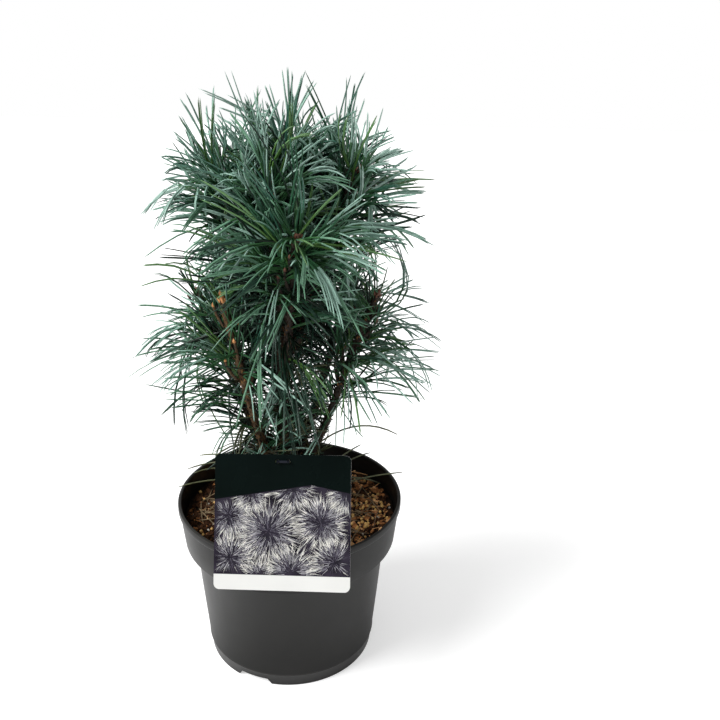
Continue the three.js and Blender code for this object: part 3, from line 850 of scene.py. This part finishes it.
def spray_grows(owner, height, way, luck):
    """Sprays are few where the photograph shows bare stems and gaps."""
    right, up = way[:, 0], way[:, 2]
    to_front, to_back = way[:, 1] < -0.3, way[:, 1] > 0.1
    if owner == "low_left":
        return ~to_front | (luck < 0.3)
    if owner == "low_right":
        inward = (right < -0.2) & (luck > 0.45)
        return (~to_front | (height < RIGHT_SPRAYS) | (luck < 0.3)) & ~inward
    if owner == "high_front":
        upward = (up > 0.1) & (height > FRONT_SPRAYS["upward"])
        level = (np.abs(right) > 0.6) & (up > -0.2) & (height > FRONT_SPRAYS["sideways"])
        hanging = (np.abs(right) < 0.14) & (height > FRONT_SPRAYS["hanging"])
        ahead = to_front & (height < FRONT_SPRAYS["ahead"]) & (luck < 0.7)
        return upward | level | hanging | ahead | (luck < 0.16)
    if owner == "trunk":
        return ~to_back | (luck < 0.4)
    if owner in ("low_back", "low_back_right"):
        return to_back | (luck < 0.35)
    return np.full(len(way), True)


def spray_kinds(share, seeds, old):
    """Old sprays low on a stem are olive or deep green, and the young ones at its tip the bluest."""
    luck = chance(seeds + 0.77)
    if old:
        return graded(luck, *OLD_KINDS)
    kinds = graded(1 - share + 0.7 * (luck - 0.5), *YOUNG_KINDS)
    return np.where(chance(seeds + 0.57) < 0.08, FRESH, kinds)


def graded(values, limits, kinds):
    """One of the kinds for each value, by how many limits it has passed."""
    return np.array(kinds)[np.searchsorted(limits, values)]


def foliage(shoot, index, young):
    """The needles of one shoot, with its stem and twigs added to the heap of young bark."""
    seed = 1000.0 * (index + 1)
    name, curve, split = (shoot[key] for key in ("name", "curve", "split"))
    tier = tier_of(name)
    opening = shoot["opening"] + TIP_OPENING[tier]
    foot = (name, curve, split * 0.25, split, OLD_SPRAYS[tier])
    groups = [
        grow(name, curve, split, 1, STEM_SPRAYS[tier], seed, (OPENING_LOW, opening)),
        grow(*foot, seed + 700, (85, 60), old=True),
    ]
    pick = int(name not in ORANGE_STEMS)
    add_stem(young, curve, split, shoot_radius, 14, pick)
    openings = (TWIGS["opening"], opening)
    for k in range(TWIGS["count"]):
        twig = twig_curve(shoot, k, seed + 100 + k)
        if room_at(twig[2:3], name)[0][0] < 2:
            continue  # too near another shoot
        groups.append(grow(name, twig, 0.05, 1, TWIG_SPRAYS[tier], seed + 200 + 30 * k, openings))
        add_stem(young, twig, 0, twig_radius, 8, pick)
        add_bud(twig[2], unit(twig[2] - twig[1]), 4.6, 1.5, seed + k, index)
    add_needles(name, groups)


def add_needles(name, groups):
    """One piece with all the needles of a shoot or of the trunk."""
    columns = [np.concatenate(parts) for parts in zip(*groups)]
    spots, faces, picks = needle_meshes(*columns)
    piece = add_piece(f"needles_{name}", spots, faces, NEEDLE_LOOKS, picks)
    settle(piece, "needles", f"foliage_{name}")


# Stems, scales and buds

def twig_radius(t):
    return mix(TWIGS["radius"], TWIGS["tip"], t)


def add_stem(heap, curve, start, radius, sides, pick):
    """A stretch of stem with swellings where the needles sit."""
    long = length_of(curve) * (1 - start)
    shares = mix(start, 1, np.linspace(0, 1, max(4, int(long / 1.3))))
    turn = turns(sides)[None]
    height = np.linspace(0, long, len(shares))[:, None]
    swell = 1 + 0.09 * np.sin(height * 2.4 + turn * 3) * np.sin(height * 1.1 - turn * 2)
    heap.add(*tube_along(curve, shares, radius(shares)[:, None] * swell, sides, (0.3, 1, 0)), pick)


def bark_limb(heap, curve, start, end, radius, sides, rough, pick):
    """Bark with flakes and furrows: its relief is in the mesh."""
    long = length_of(curve) * (end - start)
    shares = np.linspace(start, end, int(long / 1.1))
    spots, faces = tube_along(curve, shares, radius(shares), sides, (1, 0, 0))
    rings = spots.reshape(len(shares), sides, 3)
    for centre, ring in zip(on_curve(curve, shares), rings):
        for j, spot in enumerate(ring):
            place = Vector(spot) * 0.22
            place.z *= 0.55
            ridge = noise.fractal(place, 0.9, 2.1, 4) + 0.7 * (0.5 - noise.cell(Vector(spot) * 0.3))
            ring[j] = centre + (spot - centre) * (1 + rough * max(-0.9, min(1.1, ridge)))
    heap.add(rings, faces, pick)


def add_scales(heap, curve, start, end, radius, step, seed, tones):
    """Thin upright scales left by old sprays, in the same spiral."""
    count = int(length_of(curve) * (end - start) / step)
    for i in range(count):
        t = mix(start, end, (i + 0.5) / count)
        ahead = along(curve, t)[0]
        out = sideways(ahead, i * NEEDLE_STEP + chance(seed + i + 0.7))
        wide = np.cross(ahead, out) * (0.8 + 0.9 * chance(seed + i))
        foot = on_curve(curve, t)[0] + out * (radius(t) - 0.5)
        tall = 2.2 + 3.2 * chance(seed + i + 0.5)
        tip = foot + ahead * tall + out * (0.9 + 1.7 * chance(seed + i + 0.2))
        back = foot + ahead * tall * 0.45 + out * 1.5
        faces = [(0, 2, 1), (0, 1, 3), (1, 2, 3), (2, 0, 3)]
        pick = rank(tones, chance(seed + i + 0.9))
        heap.add([foot - wide, foot + wide, tip, back], faces, pick)


BUDS = {"tan": Heap(), "red": Heap()}
TAN_BUDS = (0, 3)


def add_bud(foot, ahead, long, radius, seed, index):
    """A pointed bud with a spiral of overlapping scales."""
    sides, rings = 14, 14
    shares = np.linspace(0, 1, rings)
    round_off = np.sin(pi * np.clip(0.16 + 0.84 * shares, 0, 0.995)) ** 0.75
    girth = radius * round_off * (1.1 - 0.35 * shares)
    scales = 1 + 0.14 * np.sin(shares[:, None] * 26 + turns(sides)[None] * 5)
    scales += 0.05 * (chance(seed + np.arange(sides)) - 0.5)
    curve = [foot, foot + ahead * long]
    bud = tube_along(curve, shares, girth[:, None] * scales, sides, (0.3, 1, 0.2))
    BUDS["tan" if index in TAN_BUDS else "red"].add(*bud)


def tip_buds(shoot, index):
    """One main bud at the shoot's tip and a ring of small ones round it."""
    foot = shoot["curve"][3]
    ahead = along(shoot["curve"], 1)[0]
    foot = foot - ahead * 1.5
    size = 1.0 if index in TAN_BUDS else 0.72
    add_bud(foot, ahead, 12 * size, 3.1 * size, index, index)
    for k in range(5):
        out = sideways(ahead, k * 2 * pi / 5 + chance(index + 0.1 * k))
        long = (5.5 + 2.5 * chance(index + 0.3 * k)) * size
        add_bud(foot + out * 1.7, unit(ahead + out * 0.6), long, 1.7 * size, index + k, index)


# Pot

def pot():
    top, ledge, lip = POT_HEIGHT, POT_HEIGHT - COLLAR_HEIGHT, POT_HEIGHT - LIP_HEIGHT
    rim, collar, skirt = RIM_RADIUS, COLLAR_FOOT_RADIUS, SKIRT_HEIGHT
    collar_top = rim - LIP_STEP
    foot = FOOT_RADIUS - SKIRT_STEP
    inside = foot - SKIRT_WALL

    def body(z):
        return mix(FOOT_RADIUS, BODY_TOP_RADIUS, z / ledge)

    profile = [
        (AXIS, skirt - FLOOR),
        (inside + 1, skirt - FLOOR),
        (inside, 0.5),
        (inside + 0.5, 0),
        (foot - 0.6, 0),
        (foot, 0.6),
        (body(skirt) - SKIRT_STEP, skirt - 1.8),
        (body(skirt) + 0.4, skirt - 0.2),
        (body(skirt) + 0.4, skirt),
        (body(skirt), skirt + 0.9),
        (body(60), 60),
        (BODY_TOP_RADIUS - 0.4, ledge - 2),
        (BODY_TOP_RADIUS + 1, ledge + 0.4),
        (collar - 1.2, ledge + 0.1),
        (collar - 0.3, ledge + 0.5),
        (collar + 0.1, ledge + 1.6),
        (mix(collar, collar_top, 0.5), mix(ledge, lip, 0.5)),
        (collar_top, lip),
        (rim - 0.3, lip + LIP_STEP - 0.4),
        (rim, lip + LIP_STEP + 0.3),
        (rim, top - 1.3),
        (rim - 0.35, top - 0.4),
        (rim - 1.2, top),
        (collar_top - WALL + 0.7, top),
        (collar_top - WALL, top - 0.7),
        (collar_top - WALL - 0.3, lip),
        (collar - WALL, ledge + WALL),
        (BODY_TOP_RADIUS - WALL, ledge + WALL),
        (body(skirt) - WALL, skirt),
        (AXIS, skirt),
    ]
    piece = add_piece("pot_shell", *lathe(profile, 180), [POT_PLASTIC])
    notches = [notch(NOTCHES["first"] + i * 120) for i in range(NOTCHES["count"])]
    cut_away(piece, notches + [drain(i * 360 / DRAINS["count"]) for i in range(DRAINS["count"])])
    piece.data.materials.append(POT_PAINTED_HIGHLIGHT)
    # Painted highlight on the top of the rim and on the mould bead
    for face in piece.data.polygons:
        z, r = face.center.z / MM, face.center.xy.length / MM
        bead_highlight = skirt - 0.1 < z < skirt + 0.8 and r > FOOT_RADIUS
        face.material_index = int(z > top - 1.2 or bead_highlight)
    sharp_edges(piece, 32)
    return settle(piece, "pot_plastic", "pot")


def notch(azimuth):
    foot, top, height = NOTCHES["foot"] / 2, NOTCHES["top"] / 2, NOTCHES["height"]
    outline = [(-foot - 1, -1), (foot + 1, -1), (top, height), (-top, height)]
    axes = (around(azimuth + 90), UPRIGHT, around(azimuth))
    return prism("notch", outline, 24, axes, around(azimuth) * (FOOT_RADIUS - 14))


def drain(azimuth):
    axes = (around(0), around(90), UPRIGHT)
    foot = around(azimuth) * DRAINS["ring"] + (0, 0, SKIRT_HEIGHT - 2 * FLOOR)
    return prism("drain", circle(20, DRAINS["radius"]), 3 * FLOOR, axes, foot)


# Soil: a rough lump with bark chips, fibres, feed prills, perlite and fallen needles on it

def collar_inside(z):
    share = (z - POT_HEIGHT + COLLAR_HEIGHT) / (COLLAR_HEIGHT - LIP_HEIGHT)
    return mix(COLLAR_FOOT_RADIUS, RIM_RADIUS - LIP_STEP, share) - WALL - 2 * GAP


def soil_height(x, y):
    edge = collar_inside(SOIL_EDGE)
    t = np.clip((edge - np.hypot(x, y)) / (edge - SOIL_FLAT), 0, 1)
    return mix(SOIL_EDGE, SOIL_MOUND, t**1.5) + mix(*SOIL_LOOSE, t)


def soil_relief(x, y):
    place = Vector((x, y, 0))
    return 1.6 * noise.fractal(place * 0.06, 0.9, 2.0, 5) + 0.9 * noise.noise(place * 0.35)


def soil():
    edge = collar_inside(SOIL_EDGE)
    clear = WALL + 2 * GAP
    sides = 160
    ledge = POT_HEIGHT - COLLAR_HEIGHT + WALL + GAP
    below = mix(FOOT_RADIUS, BODY_TOP_RADIUS, SKIRT_HEIGHT / (POT_HEIGHT - COLLAR_HEIGHT)) - clear
    profile = [
        (AXIS, SKIRT_HEIGHT + GAP),
        (below, SKIRT_HEIGHT + GAP),
        (BODY_TOP_RADIUS - clear, ledge),
        (COLLAR_FOOT_RADIUS - clear, ledge),
        (edge, SOIL_EDGE),
    ]
    walls = len(profile)
    profile += [(r, 0) for r in np.linspace(edge, AXIS, 70)]
    spots, faces = lathe(profile, sides)
    spots = np.array(spots)
    for spot in spots[walls * sides:]:
        x, y = spot[:2]
        off_trunk = hypot(x - TRUNK[0][0], y) - FLARE_RADIUS
        calm = min(1, (edge - hypot(x, y)) / 6) * min(1, max(0, off_trunk) / 8)
        spot[2] = soil_height(x, y) + soil_relief(x, y) * calm - 0.4
    settle(add_piece("soil_lump", spots, faces, [EARTH]), "soil", "soil")
    settle(chips(), "soil")
    settle(grains(), "soil")
    settle(fallen_needles(), "needles")


def scatter(count, seed, reach=0.97, least=14):
    """Places on the soil, even over its area, with heights."""
    i = np.arange(count)
    edge = collar_inside(SOIL_EDGE) * reach
    r = np.sqrt(mix(least**2, edge**2, chance(seed + i)))
    a = 2 * pi * chance(seed + i + 0.31)
    x, y = r * np.cos(a), r * np.sin(a)
    z = soil_height(x, y) + [soil_relief(*p) for p in zip(x, y)]
    return np.stack([x, y, z], -1)


def turned_axes(seed, flatness):
    """Three axes turned at random. The third stays near upright where flatness is high."""
    up = unit(np.array([chance(seed) - 0.5, chance(seed + 0.1) - 0.5, flatness]))
    a = 2 * pi * chance(seed + 0.2)
    right = unit(np.cross(up, (cos(a), sin(a), 0.1)))
    return np.array([right, np.cross(up, right), up])


def strewn(heap, places, shape):
    """Adds a small shape at each place on the soil."""
    for i, place in enumerate(places):
        spots, faces, pick = shape(i, place)
        heap.add(clamp_to_pot(spots), faces, pick)


def chips():
    heap = Heap()
    strewn(heap, scatter(SOIL_BITS["chips"], 9000), chip)
    strewn(heap, scatter(SOIL_BITS["fibres"], 12000), fibre)
    return heap.piece("soil_chips", CHIP_LOOKS, smooth=False)


def chip(i, place):
    big = chance(9400 + i) ** 4
    long, wide, thick = mix(1.8, 10, big), mix(1.2, 6, big), mix(0.8, 3, big)
    axes = turned_axes(9800 + i, 0.7)
    spots = []
    for level in (-0.5, 0.5):
        for k, (x, y) in enumerate(circle(6, 0.5)):
            r = 0.65 + 0.5 * chance(i + 0.17 * k + level)
            spots.append(place + np.array([x * long * r, y * wide * r, level * thick]) @ axes)
    spots = np.array(spots)
    spots[:, 2] = np.minimum(spots[:, 2], POT_HEIGHT - 9)
    left_shade = 0.46 * (place[0] < 0)  # painted shade: chips on the left, where the rim shades the soil, are dealt darker colours
    pick = rank([0.48 + left_shade, 0.82 + left_shade / 2], chance(9600 + i))
    return spots, tube_faces(2, 6), pick


def fibre(i, place):
    axes = turned_axes(12500 + i, 1.6)
    long = mix(8, 24, chance(12300 + i))
    half = axes[0] * long / 2
    bend = axes[1] * long * 0.25 * (chance(12600 + i) - 0.5)
    curve = np.array([place - half, place + bend + (0, 0, 1.4), place + half])
    return *thread(curve, np.full(5, 0.3 + 0.3 * chance(12700 + i)), 4), 1 + i % 2


def clamp_to_pot(spots):
    """Keeps loose soil inside the pot's wall."""
    r = np.hypot(spots[:, 0], spots[:, 1])
    limit = collar_inside(np.clip(spots[:, 2], SOIL_EDGE - 6, POT_HEIGHT - LIP_HEIGHT))
    share = np.minimum(1, limit / np.maximum(r, 1))
    return spots * np.stack([share, share, np.ones_like(share)], -1)


def ball(place, radius, squash, seed):
    """A small lumpy ball."""
    sides, rings = 8, 6
    polar = np.linspace(0.12, pi - 0.12, rings)
    turn = turns(sides)[None]
    lumps = 1 + squash * (chance(seed + np.arange(rings * sides) * 0.37).reshape(rings, sides) - 0.5)
    x = np.sin(polar)[:, None] * np.cos(turn) * lumps
    y = np.sin(polar)[:, None] * np.sin(turn) * lumps
    z = -np.cos(polar)[:, None] * lumps
    return place + np.stack([x, y, z], -1).reshape(-1, 3) * radius, tube_faces(rings, sides)


def grains():
    heap = Heap()
    cluster = scatter(SOIL_BITS["cluster"], 15500, 0.3, 2) + CLUSTER
    strewn(heap, np.concatenate([scatter(SOIL_BITS["prills"], 15000), cluster]), prill)
    strewn(heap, scatter(SOIL_BITS["perlite"], 16000), perlite)
    return heap.piece("soil_grains", [PRILL, PERLITE])


def prill(i, place):
    place[2] = soil_height(place[0], place[1]) + 0.8
    radius = mix(1.1, 1.8, chance(15200 + i))
    return *ball(place + (0, 0, radius * 0.4), radius, 0.06, i), 0


def perlite(i, place):
    radius = mix(0.6, 1.5, chance(16200 + i))
    return *ball(place + (0, 0, radius * 0.3), radius, 0.9, i), 1


RIM_NEEDLES = (  # long old needles that lie over the rim: foot, middle and tip
    ((-40, 20, 190), (-80, 38, 187), (-108, 25, 180)),
    ((-36, 14, 200), (-74, 34, 196), (-99, 47, 184)),
    ((-50, 30, 176), (-84, 40, 178), (-101, 24, 176)),
    ((-44, 26, 168), (-84, 14, 178), (-112, -4, 176)),
    ((30, 40, 172), (52, 62, 182), (70, 80, 183)),
    ((34, 36, 170), (60, 56, 181), (80, 66, 181)),
    ((30, 26, 158), (72, 26, 176), (113, 28, 180)),
    ((24, -2, 224), (64, -12, 268), (104, -20, 249)),
    ((38, 44, 160), (66, 50, 164), (93, 44, 156)),
)


def fallen_needles():
    """Dry needles that lie on the soil, and the long ones over the rim."""
    heap = Heap()
    strewn(heap, scatter(SOIL_BITS["needles"], 17000, 0.9), dry_needle)
    girth = 0.95 * np.array([0.7, 1, 1, 1, 1, 1, 1, 1, 0.9, 0.5])
    for stops in RIM_NEEDLES:
        heap.add(*thread(np.array(stops, float), girth, 3), 1)
    return heap.piece("fallen_needles", [DRY_NEEDLE, RIM_NEEDLE])


def dry_needle(i, place):
    axes = turned_axes(17400 + i, 5)
    long = mix(28, 70, chance(17200 + i))
    lift = mix(0.8, 3.5, chance(17300 + i))
    ends = [place - axes[0] * long / 2, place + axes[0] * long / 2]
    for end in ends:
        end[:2] *= min(1, 92 / hypot(end[0], end[1]))
        end[2] = soil_height(end[0], end[1]) + lift
    bend = axes[1] * long * 0.12 * (chance(17500 + i) - 0.5)
    curve = np.array([ends[0], (ends[0] + ends[1]) / 2 + bend + (0, 0, 1.5), ends[1]])
    return *thread(curve, 0.55 * np.array([0.7, 1, 1, 1, 1, 0.8, 0.15]), 3), 0


# Card: the sheet, and its print as thin flat shapes on the front

BAND_LEFT, BAND_PEAK, BAND_RIGHT = 79.5, 93.5, 86.5  # heights of the dark band's lower edge
PEAK_X = 26
STRIP_TOP = 13.5
INK = 0.06


def rounded_outline():
    height, corner, steps = CARD["height"], CARD["corner"], 8
    outline = []
    for cx, cy, first in ((1, 0, -90), (1, 1, 0), (-1, 1, 90), (-1, 0, 180)):
        x = cx * (CARD_HALF - corner)
        y = height - corner if cy else corner
        for k in range(steps + 1):
            a = radians(first + 90 * k / steps)
            outline.append((x + corner * cos(a), y + corner * sin(a)))
    return outline


def card_front(shape, depth):
    return [on_card(x, y, CARD["thickness"] + depth) for x, y in shape]


def card():
    sheet = prism("card_sheet", rounded_outline(), CARD["thickness"], CARD_AXES.T, CARD_FOOT)
    band = [p for p in rounded_outline() if p[1] > 60]
    band += [(-CARD_HALF, BAND_LEFT), (PEAK_X, BAND_PEAK), (CARD_HALF, BAND_RIGHT)]
    ink = prism("card_band", band, INK * 2, CARD_AXES.T, on_card(0, 0, CARD["thickness"] - INK))
    ink.data.materials.append(CARD_BAND)
    for piece in (sheet, ink):
        cut_away(piece, [eye(side) for side in (-1, 1)])
    # The edge of the sheet is dark beside the band
    sheet.data.materials.clear()
    sheet.data.materials.append(CARD_WHITE)
    sheet.data.materials.append(CARD_BAND)
    for face in sheet.data.polygons:
        local = CARD_AXES.T @ (np.array(face.center) / MM - CARD_FOOT)
        face.material_index = int(local[1] > BAND_LEFT and abs(local[2] - CARD["thickness"]) > 0.01)
    settle(sheet, "card", "plant_card")
    settle(ink, "card")
    settle(card_picture(), "card")


def eye(side):
    """The shape of a hole for the tie."""
    foot = on_card(side * EYE["apart"] / 2, CARD["height"] - EYE["drop"], -2)
    return prism("eye", circle(24, EYE["radius"]), 6, CARD_AXES.T, foot)


def band_edge(x):
    """Height of the dark band's lower edge."""
    if x < PEAK_X:
        return mix(BAND_LEFT, BAND_PEAK, (x + CARD_HALF) / (PEAK_X + CARD_HALF))
    return mix(BAND_PEAK, BAND_RIGHT, (x - PEAK_X) / (CARD_HALF - PEAK_X))


TUFTS = (  # middle and size of each
    (-12, 52, 33), (35, 60, 27), (-48, 66, 24), (-46, 28, 24), (8, 16, 27), (47, 26, 25),
    (10, 90, 22), (57, 86, 20), (-28, 86, 20), (-20, 12, 18),
)


def card_picture():
    """Tufts of pale blades on a dark ground: a made-up print, in layers a hair apart."""
    heap = Heap()
    columns = np.linspace(-CARD_HALF, CARD_HALF, 25)
    for low, high in zip(columns[:-1], columns[1:]):
        corners = [(low, STRIP_TOP), (high, STRIP_TOP), (high, band_edge(high)), (low, band_edge(low))]
        heap.add(card_front(corners, INK), [(0, 1, 2, 3)], 4)
    for f, (cx, cy, size) in enumerate(TUFTS):
        for i in range(24 * size):
            seed = 20000 + 900 * f + i
            out = chance(seed + 0.3) ** 0.7
            spin = 2 * pi * chance(seed)
            start = size * 0.72 * out
            end = start + size * mix(0.2, 0.42, chance(seed + 0.6))
            blade = picture_blade(cx, cy, spin, start, end, seed)
            if blade:
                tone = 0.75 * out + 0.5 * (chance(seed + 0.45) - 0.5)
                pick = 3 - rank([0.14, 0.34, 0.62], tone)
                heap.add(card_front(blade, INK * (2 + f * 0.3 + i / 3000)), [(0, 1, 2)], pick)
    return heap.piece("card_picture", [*BLADE_LOOKS, CARD_GROUND], smooth=False)


def picture_blade(cx, cy, spin, start, end, seed):
    """A thin triangle that stays inside the picture, or nothing."""
    turn = spin + 0.7 * (chance(seed + 0.9) - 0.5)
    foot = (cx + cos(spin) * start, cy + sin(spin) * start)
    long = end - start
    tip = (foot[0] + cos(turn) * long, foot[1] + sin(turn) * long)
    for x, y in (foot, tip):
        if abs(x) > CARD_HALF - 0.5 or not STRIP_TOP + 0.5 < y < band_edge(x) - 0.5:
            return None
    wide = mix(0.12, 0.3, chance(seed + 0.8))
    side = (-sin(turn) * wide, cos(turn) * wide)
    return [(foot[0] + side[0], foot[1] + side[1]), (foot[0] - side[0], foot[1] - side[1]), tip]


def tie():
    """A flat strap along the tie's loop."""
    ahead = unit(np.roll(TIE, -1, axis=0) - np.roll(TIE, 1, axis=0))
    up = unit(UPRIGHT - ahead * ahead[:, 2:3])
    thin = np.cross(ahead, up)
    corners = [up * h + thin * w for h, w in ((-1.1, -0.3), (1.1, -0.3), (1.1, 0.3), (-1.1, 0.3))]
    spots = np.stack([TIE + c for c in corners], 1).reshape(-1, 3)
    piece = add_piece("card_strap", spots, side_faces(len(TIE), 4, loop=True), [TIE_PLASTIC])
    sharp_edges(piece, 40)
    return settle(piece, "tie", "card_tie")


# The whole plant

def plant():
    young, scales, bark = Heap(), Heap(), Heap()
    for index, shoot in enumerate(SHOOTS):
        foliage(shoot, index, young)
        tip_buds(shoot, index)
        curve = shoot["curve"]
        orange = shoot["name"] in ORANGE_STEMS
        bark_limb(bark, curve, 0, shoot["split"], shoot_radius, 16, 0.1, int(orange))
        tones = (0.28, 0.62) if orange else (0.02, 0.3)
        add_scales(scales, curve, 0.06, 1, shoot_radius, 0.6, 300 * index, tones)
    bark_limb(bark, TRUNK, 0, 1, trunk_radius, 28, 0.12, 0)
    add_scales(scales, TRUNK, 0.2, 0.98, trunk_radius, 0.9, 5000, (0.02, 0.3))
    low, high = trunk_share(SLEEVE["start"]), trunk_share(SLEEVE["end"])
    stretch = np.array([on_curve(TRUNK, mix(low, high, t))[0] for t in (0, 0.5, 1)])
    openings = (SLEEVE["opening"],) * 2
    add_needles("trunk", [grow("trunk", stretch, 0, 1, SLEEVE["sprays"], 500.0, openings, old=True)])
    names = [f"bough_{s['name']}" for s in SHOOTS]
    settle(bark.piece("bark", [BARK_AND_SHADE, YOUNG_BARK]), "bark", "trunk", *names)
    settle(young.piece("young_stems", [YOUNG_BARK, BARK_AND_SHADE]), "bark")
    settle(scales.piece("stem_scales", SCALE_LOOKS, smooth=False), "bark")
    settle(BUDS["tan"].piece("buds_tan", [BUD_TAN]), "bark")
    settle(BUDS["red"].piece("buds_red", [BUD_RED]), "bark")


# Stage: a pale floor, soft light and the photograph's camera

def stage():
    look = Look("studio_floor")
    seen = new_node(look.tree, "ShaderNodeLightPath").outputs["Is Camera Ray"]
    look.set(
        Base_Color=look.ramp(look.noise(3), [(0.3, (0.81, 0.81, 0.81)), (0.7, (0.83, 0.83, 0.83))]),
        Roughness=look.range(look.noise(6), 0.9, 0.95),
        Emission_Color=(1, 1, 1, 1),
        Emission_Strength=look.range(seen, 0.22, 0.5),
    )
    corners = [(x, y, -0.1) for x, y in ((-4000, -4000), (4000, -4000), (4000, 4000), (-4000, 4000))]
    floor = add_piece("floor", corners, [(0, 1, 2, 3)], [look.material], smooth=False)
    bpy.context.scene.world = studio_world()
    data = bpy.data.lights.new("key", "SUN")
    data.energy = 3.3
    data.angle = radians(32)
    key = add_object("key", data)
    key.rotation_euler = Vector((0.85, 0.42, -0.9)).to_track_quat("-Z", "Y").to_euler()
    bpy.context.scene.view_settings.view_transform = "Standard"


def studio_world():
    """A white backdrop. The light it gives is dimmer, and strongest from the upper left."""
    world = bpy.data.worlds.new("studio")
    world.use_nodes = True
    tree = world.node_tree
    white = (1, 1, 1, 1)
    seen = fill(tree, tree.nodes["Background"], Color=white)
    place = new_node(tree, "ShaderNodeTexCoord").outputs["Generated"]
    facing = new_node(tree, "ShaderNodeVectorMath", Vector=place)
    facing.operation = "DOT_PRODUCT"
    facing.inputs[1].default_value = (-0.62, -0.18, 0.76)
    facing = facing.outputs["Value"]
    limits = dict(From_Min=-0.6, From_Max=1.0, To_Min=0.06, To_Max=0.66)
    strength = new_node(tree, "ShaderNodeMapRange", Value=facing, **limits)
    soft = new_node(tree, "ShaderNodeBackground", Color=white, Strength=strength.outputs["Result"])
    camera_ray = new_node(tree, "ShaderNodeLightPath").outputs["Is Camera Ray"]
    either = new_node(tree, "ShaderNodeMixShader", Fac=camera_ray)
    for place, source in ((1, soft), (2, seen)):
        tree.links.new(source.outputs["Background"], either.inputs[place])
    fill(tree, tree.nodes["World Output"], Surface=either.outputs["Shader"])
    return world


CAMERA = dict(place=(66.9, -744.0, 629.8), pitch=22.84, roll=-1.3, lens=42.96)


def camera():
    """At the photograph's viewing angle."""
    data = bpy.data.cameras.new("camera")
    data.sensor_width = 36
    data.lens = CAMERA["lens"]
    data.clip_start = 0.01
    eye = add_object("camera", data)
    eye.location = Vector(CAMERA["place"]) * MM
    pitch, roll = radians(CAMERA["pitch"]), radians(CAMERA["roll"])
    eye.rotation_mode = "XYZ"
    eye.rotation_euler = (pi / 2 - pitch, 0, 0)
    eye.rotation_euler.rotate_axis("Z", -roll)
    bpy.context.scene.camera = eye


pot()
soil()
card()
tie()
plant()
stage()
camera()
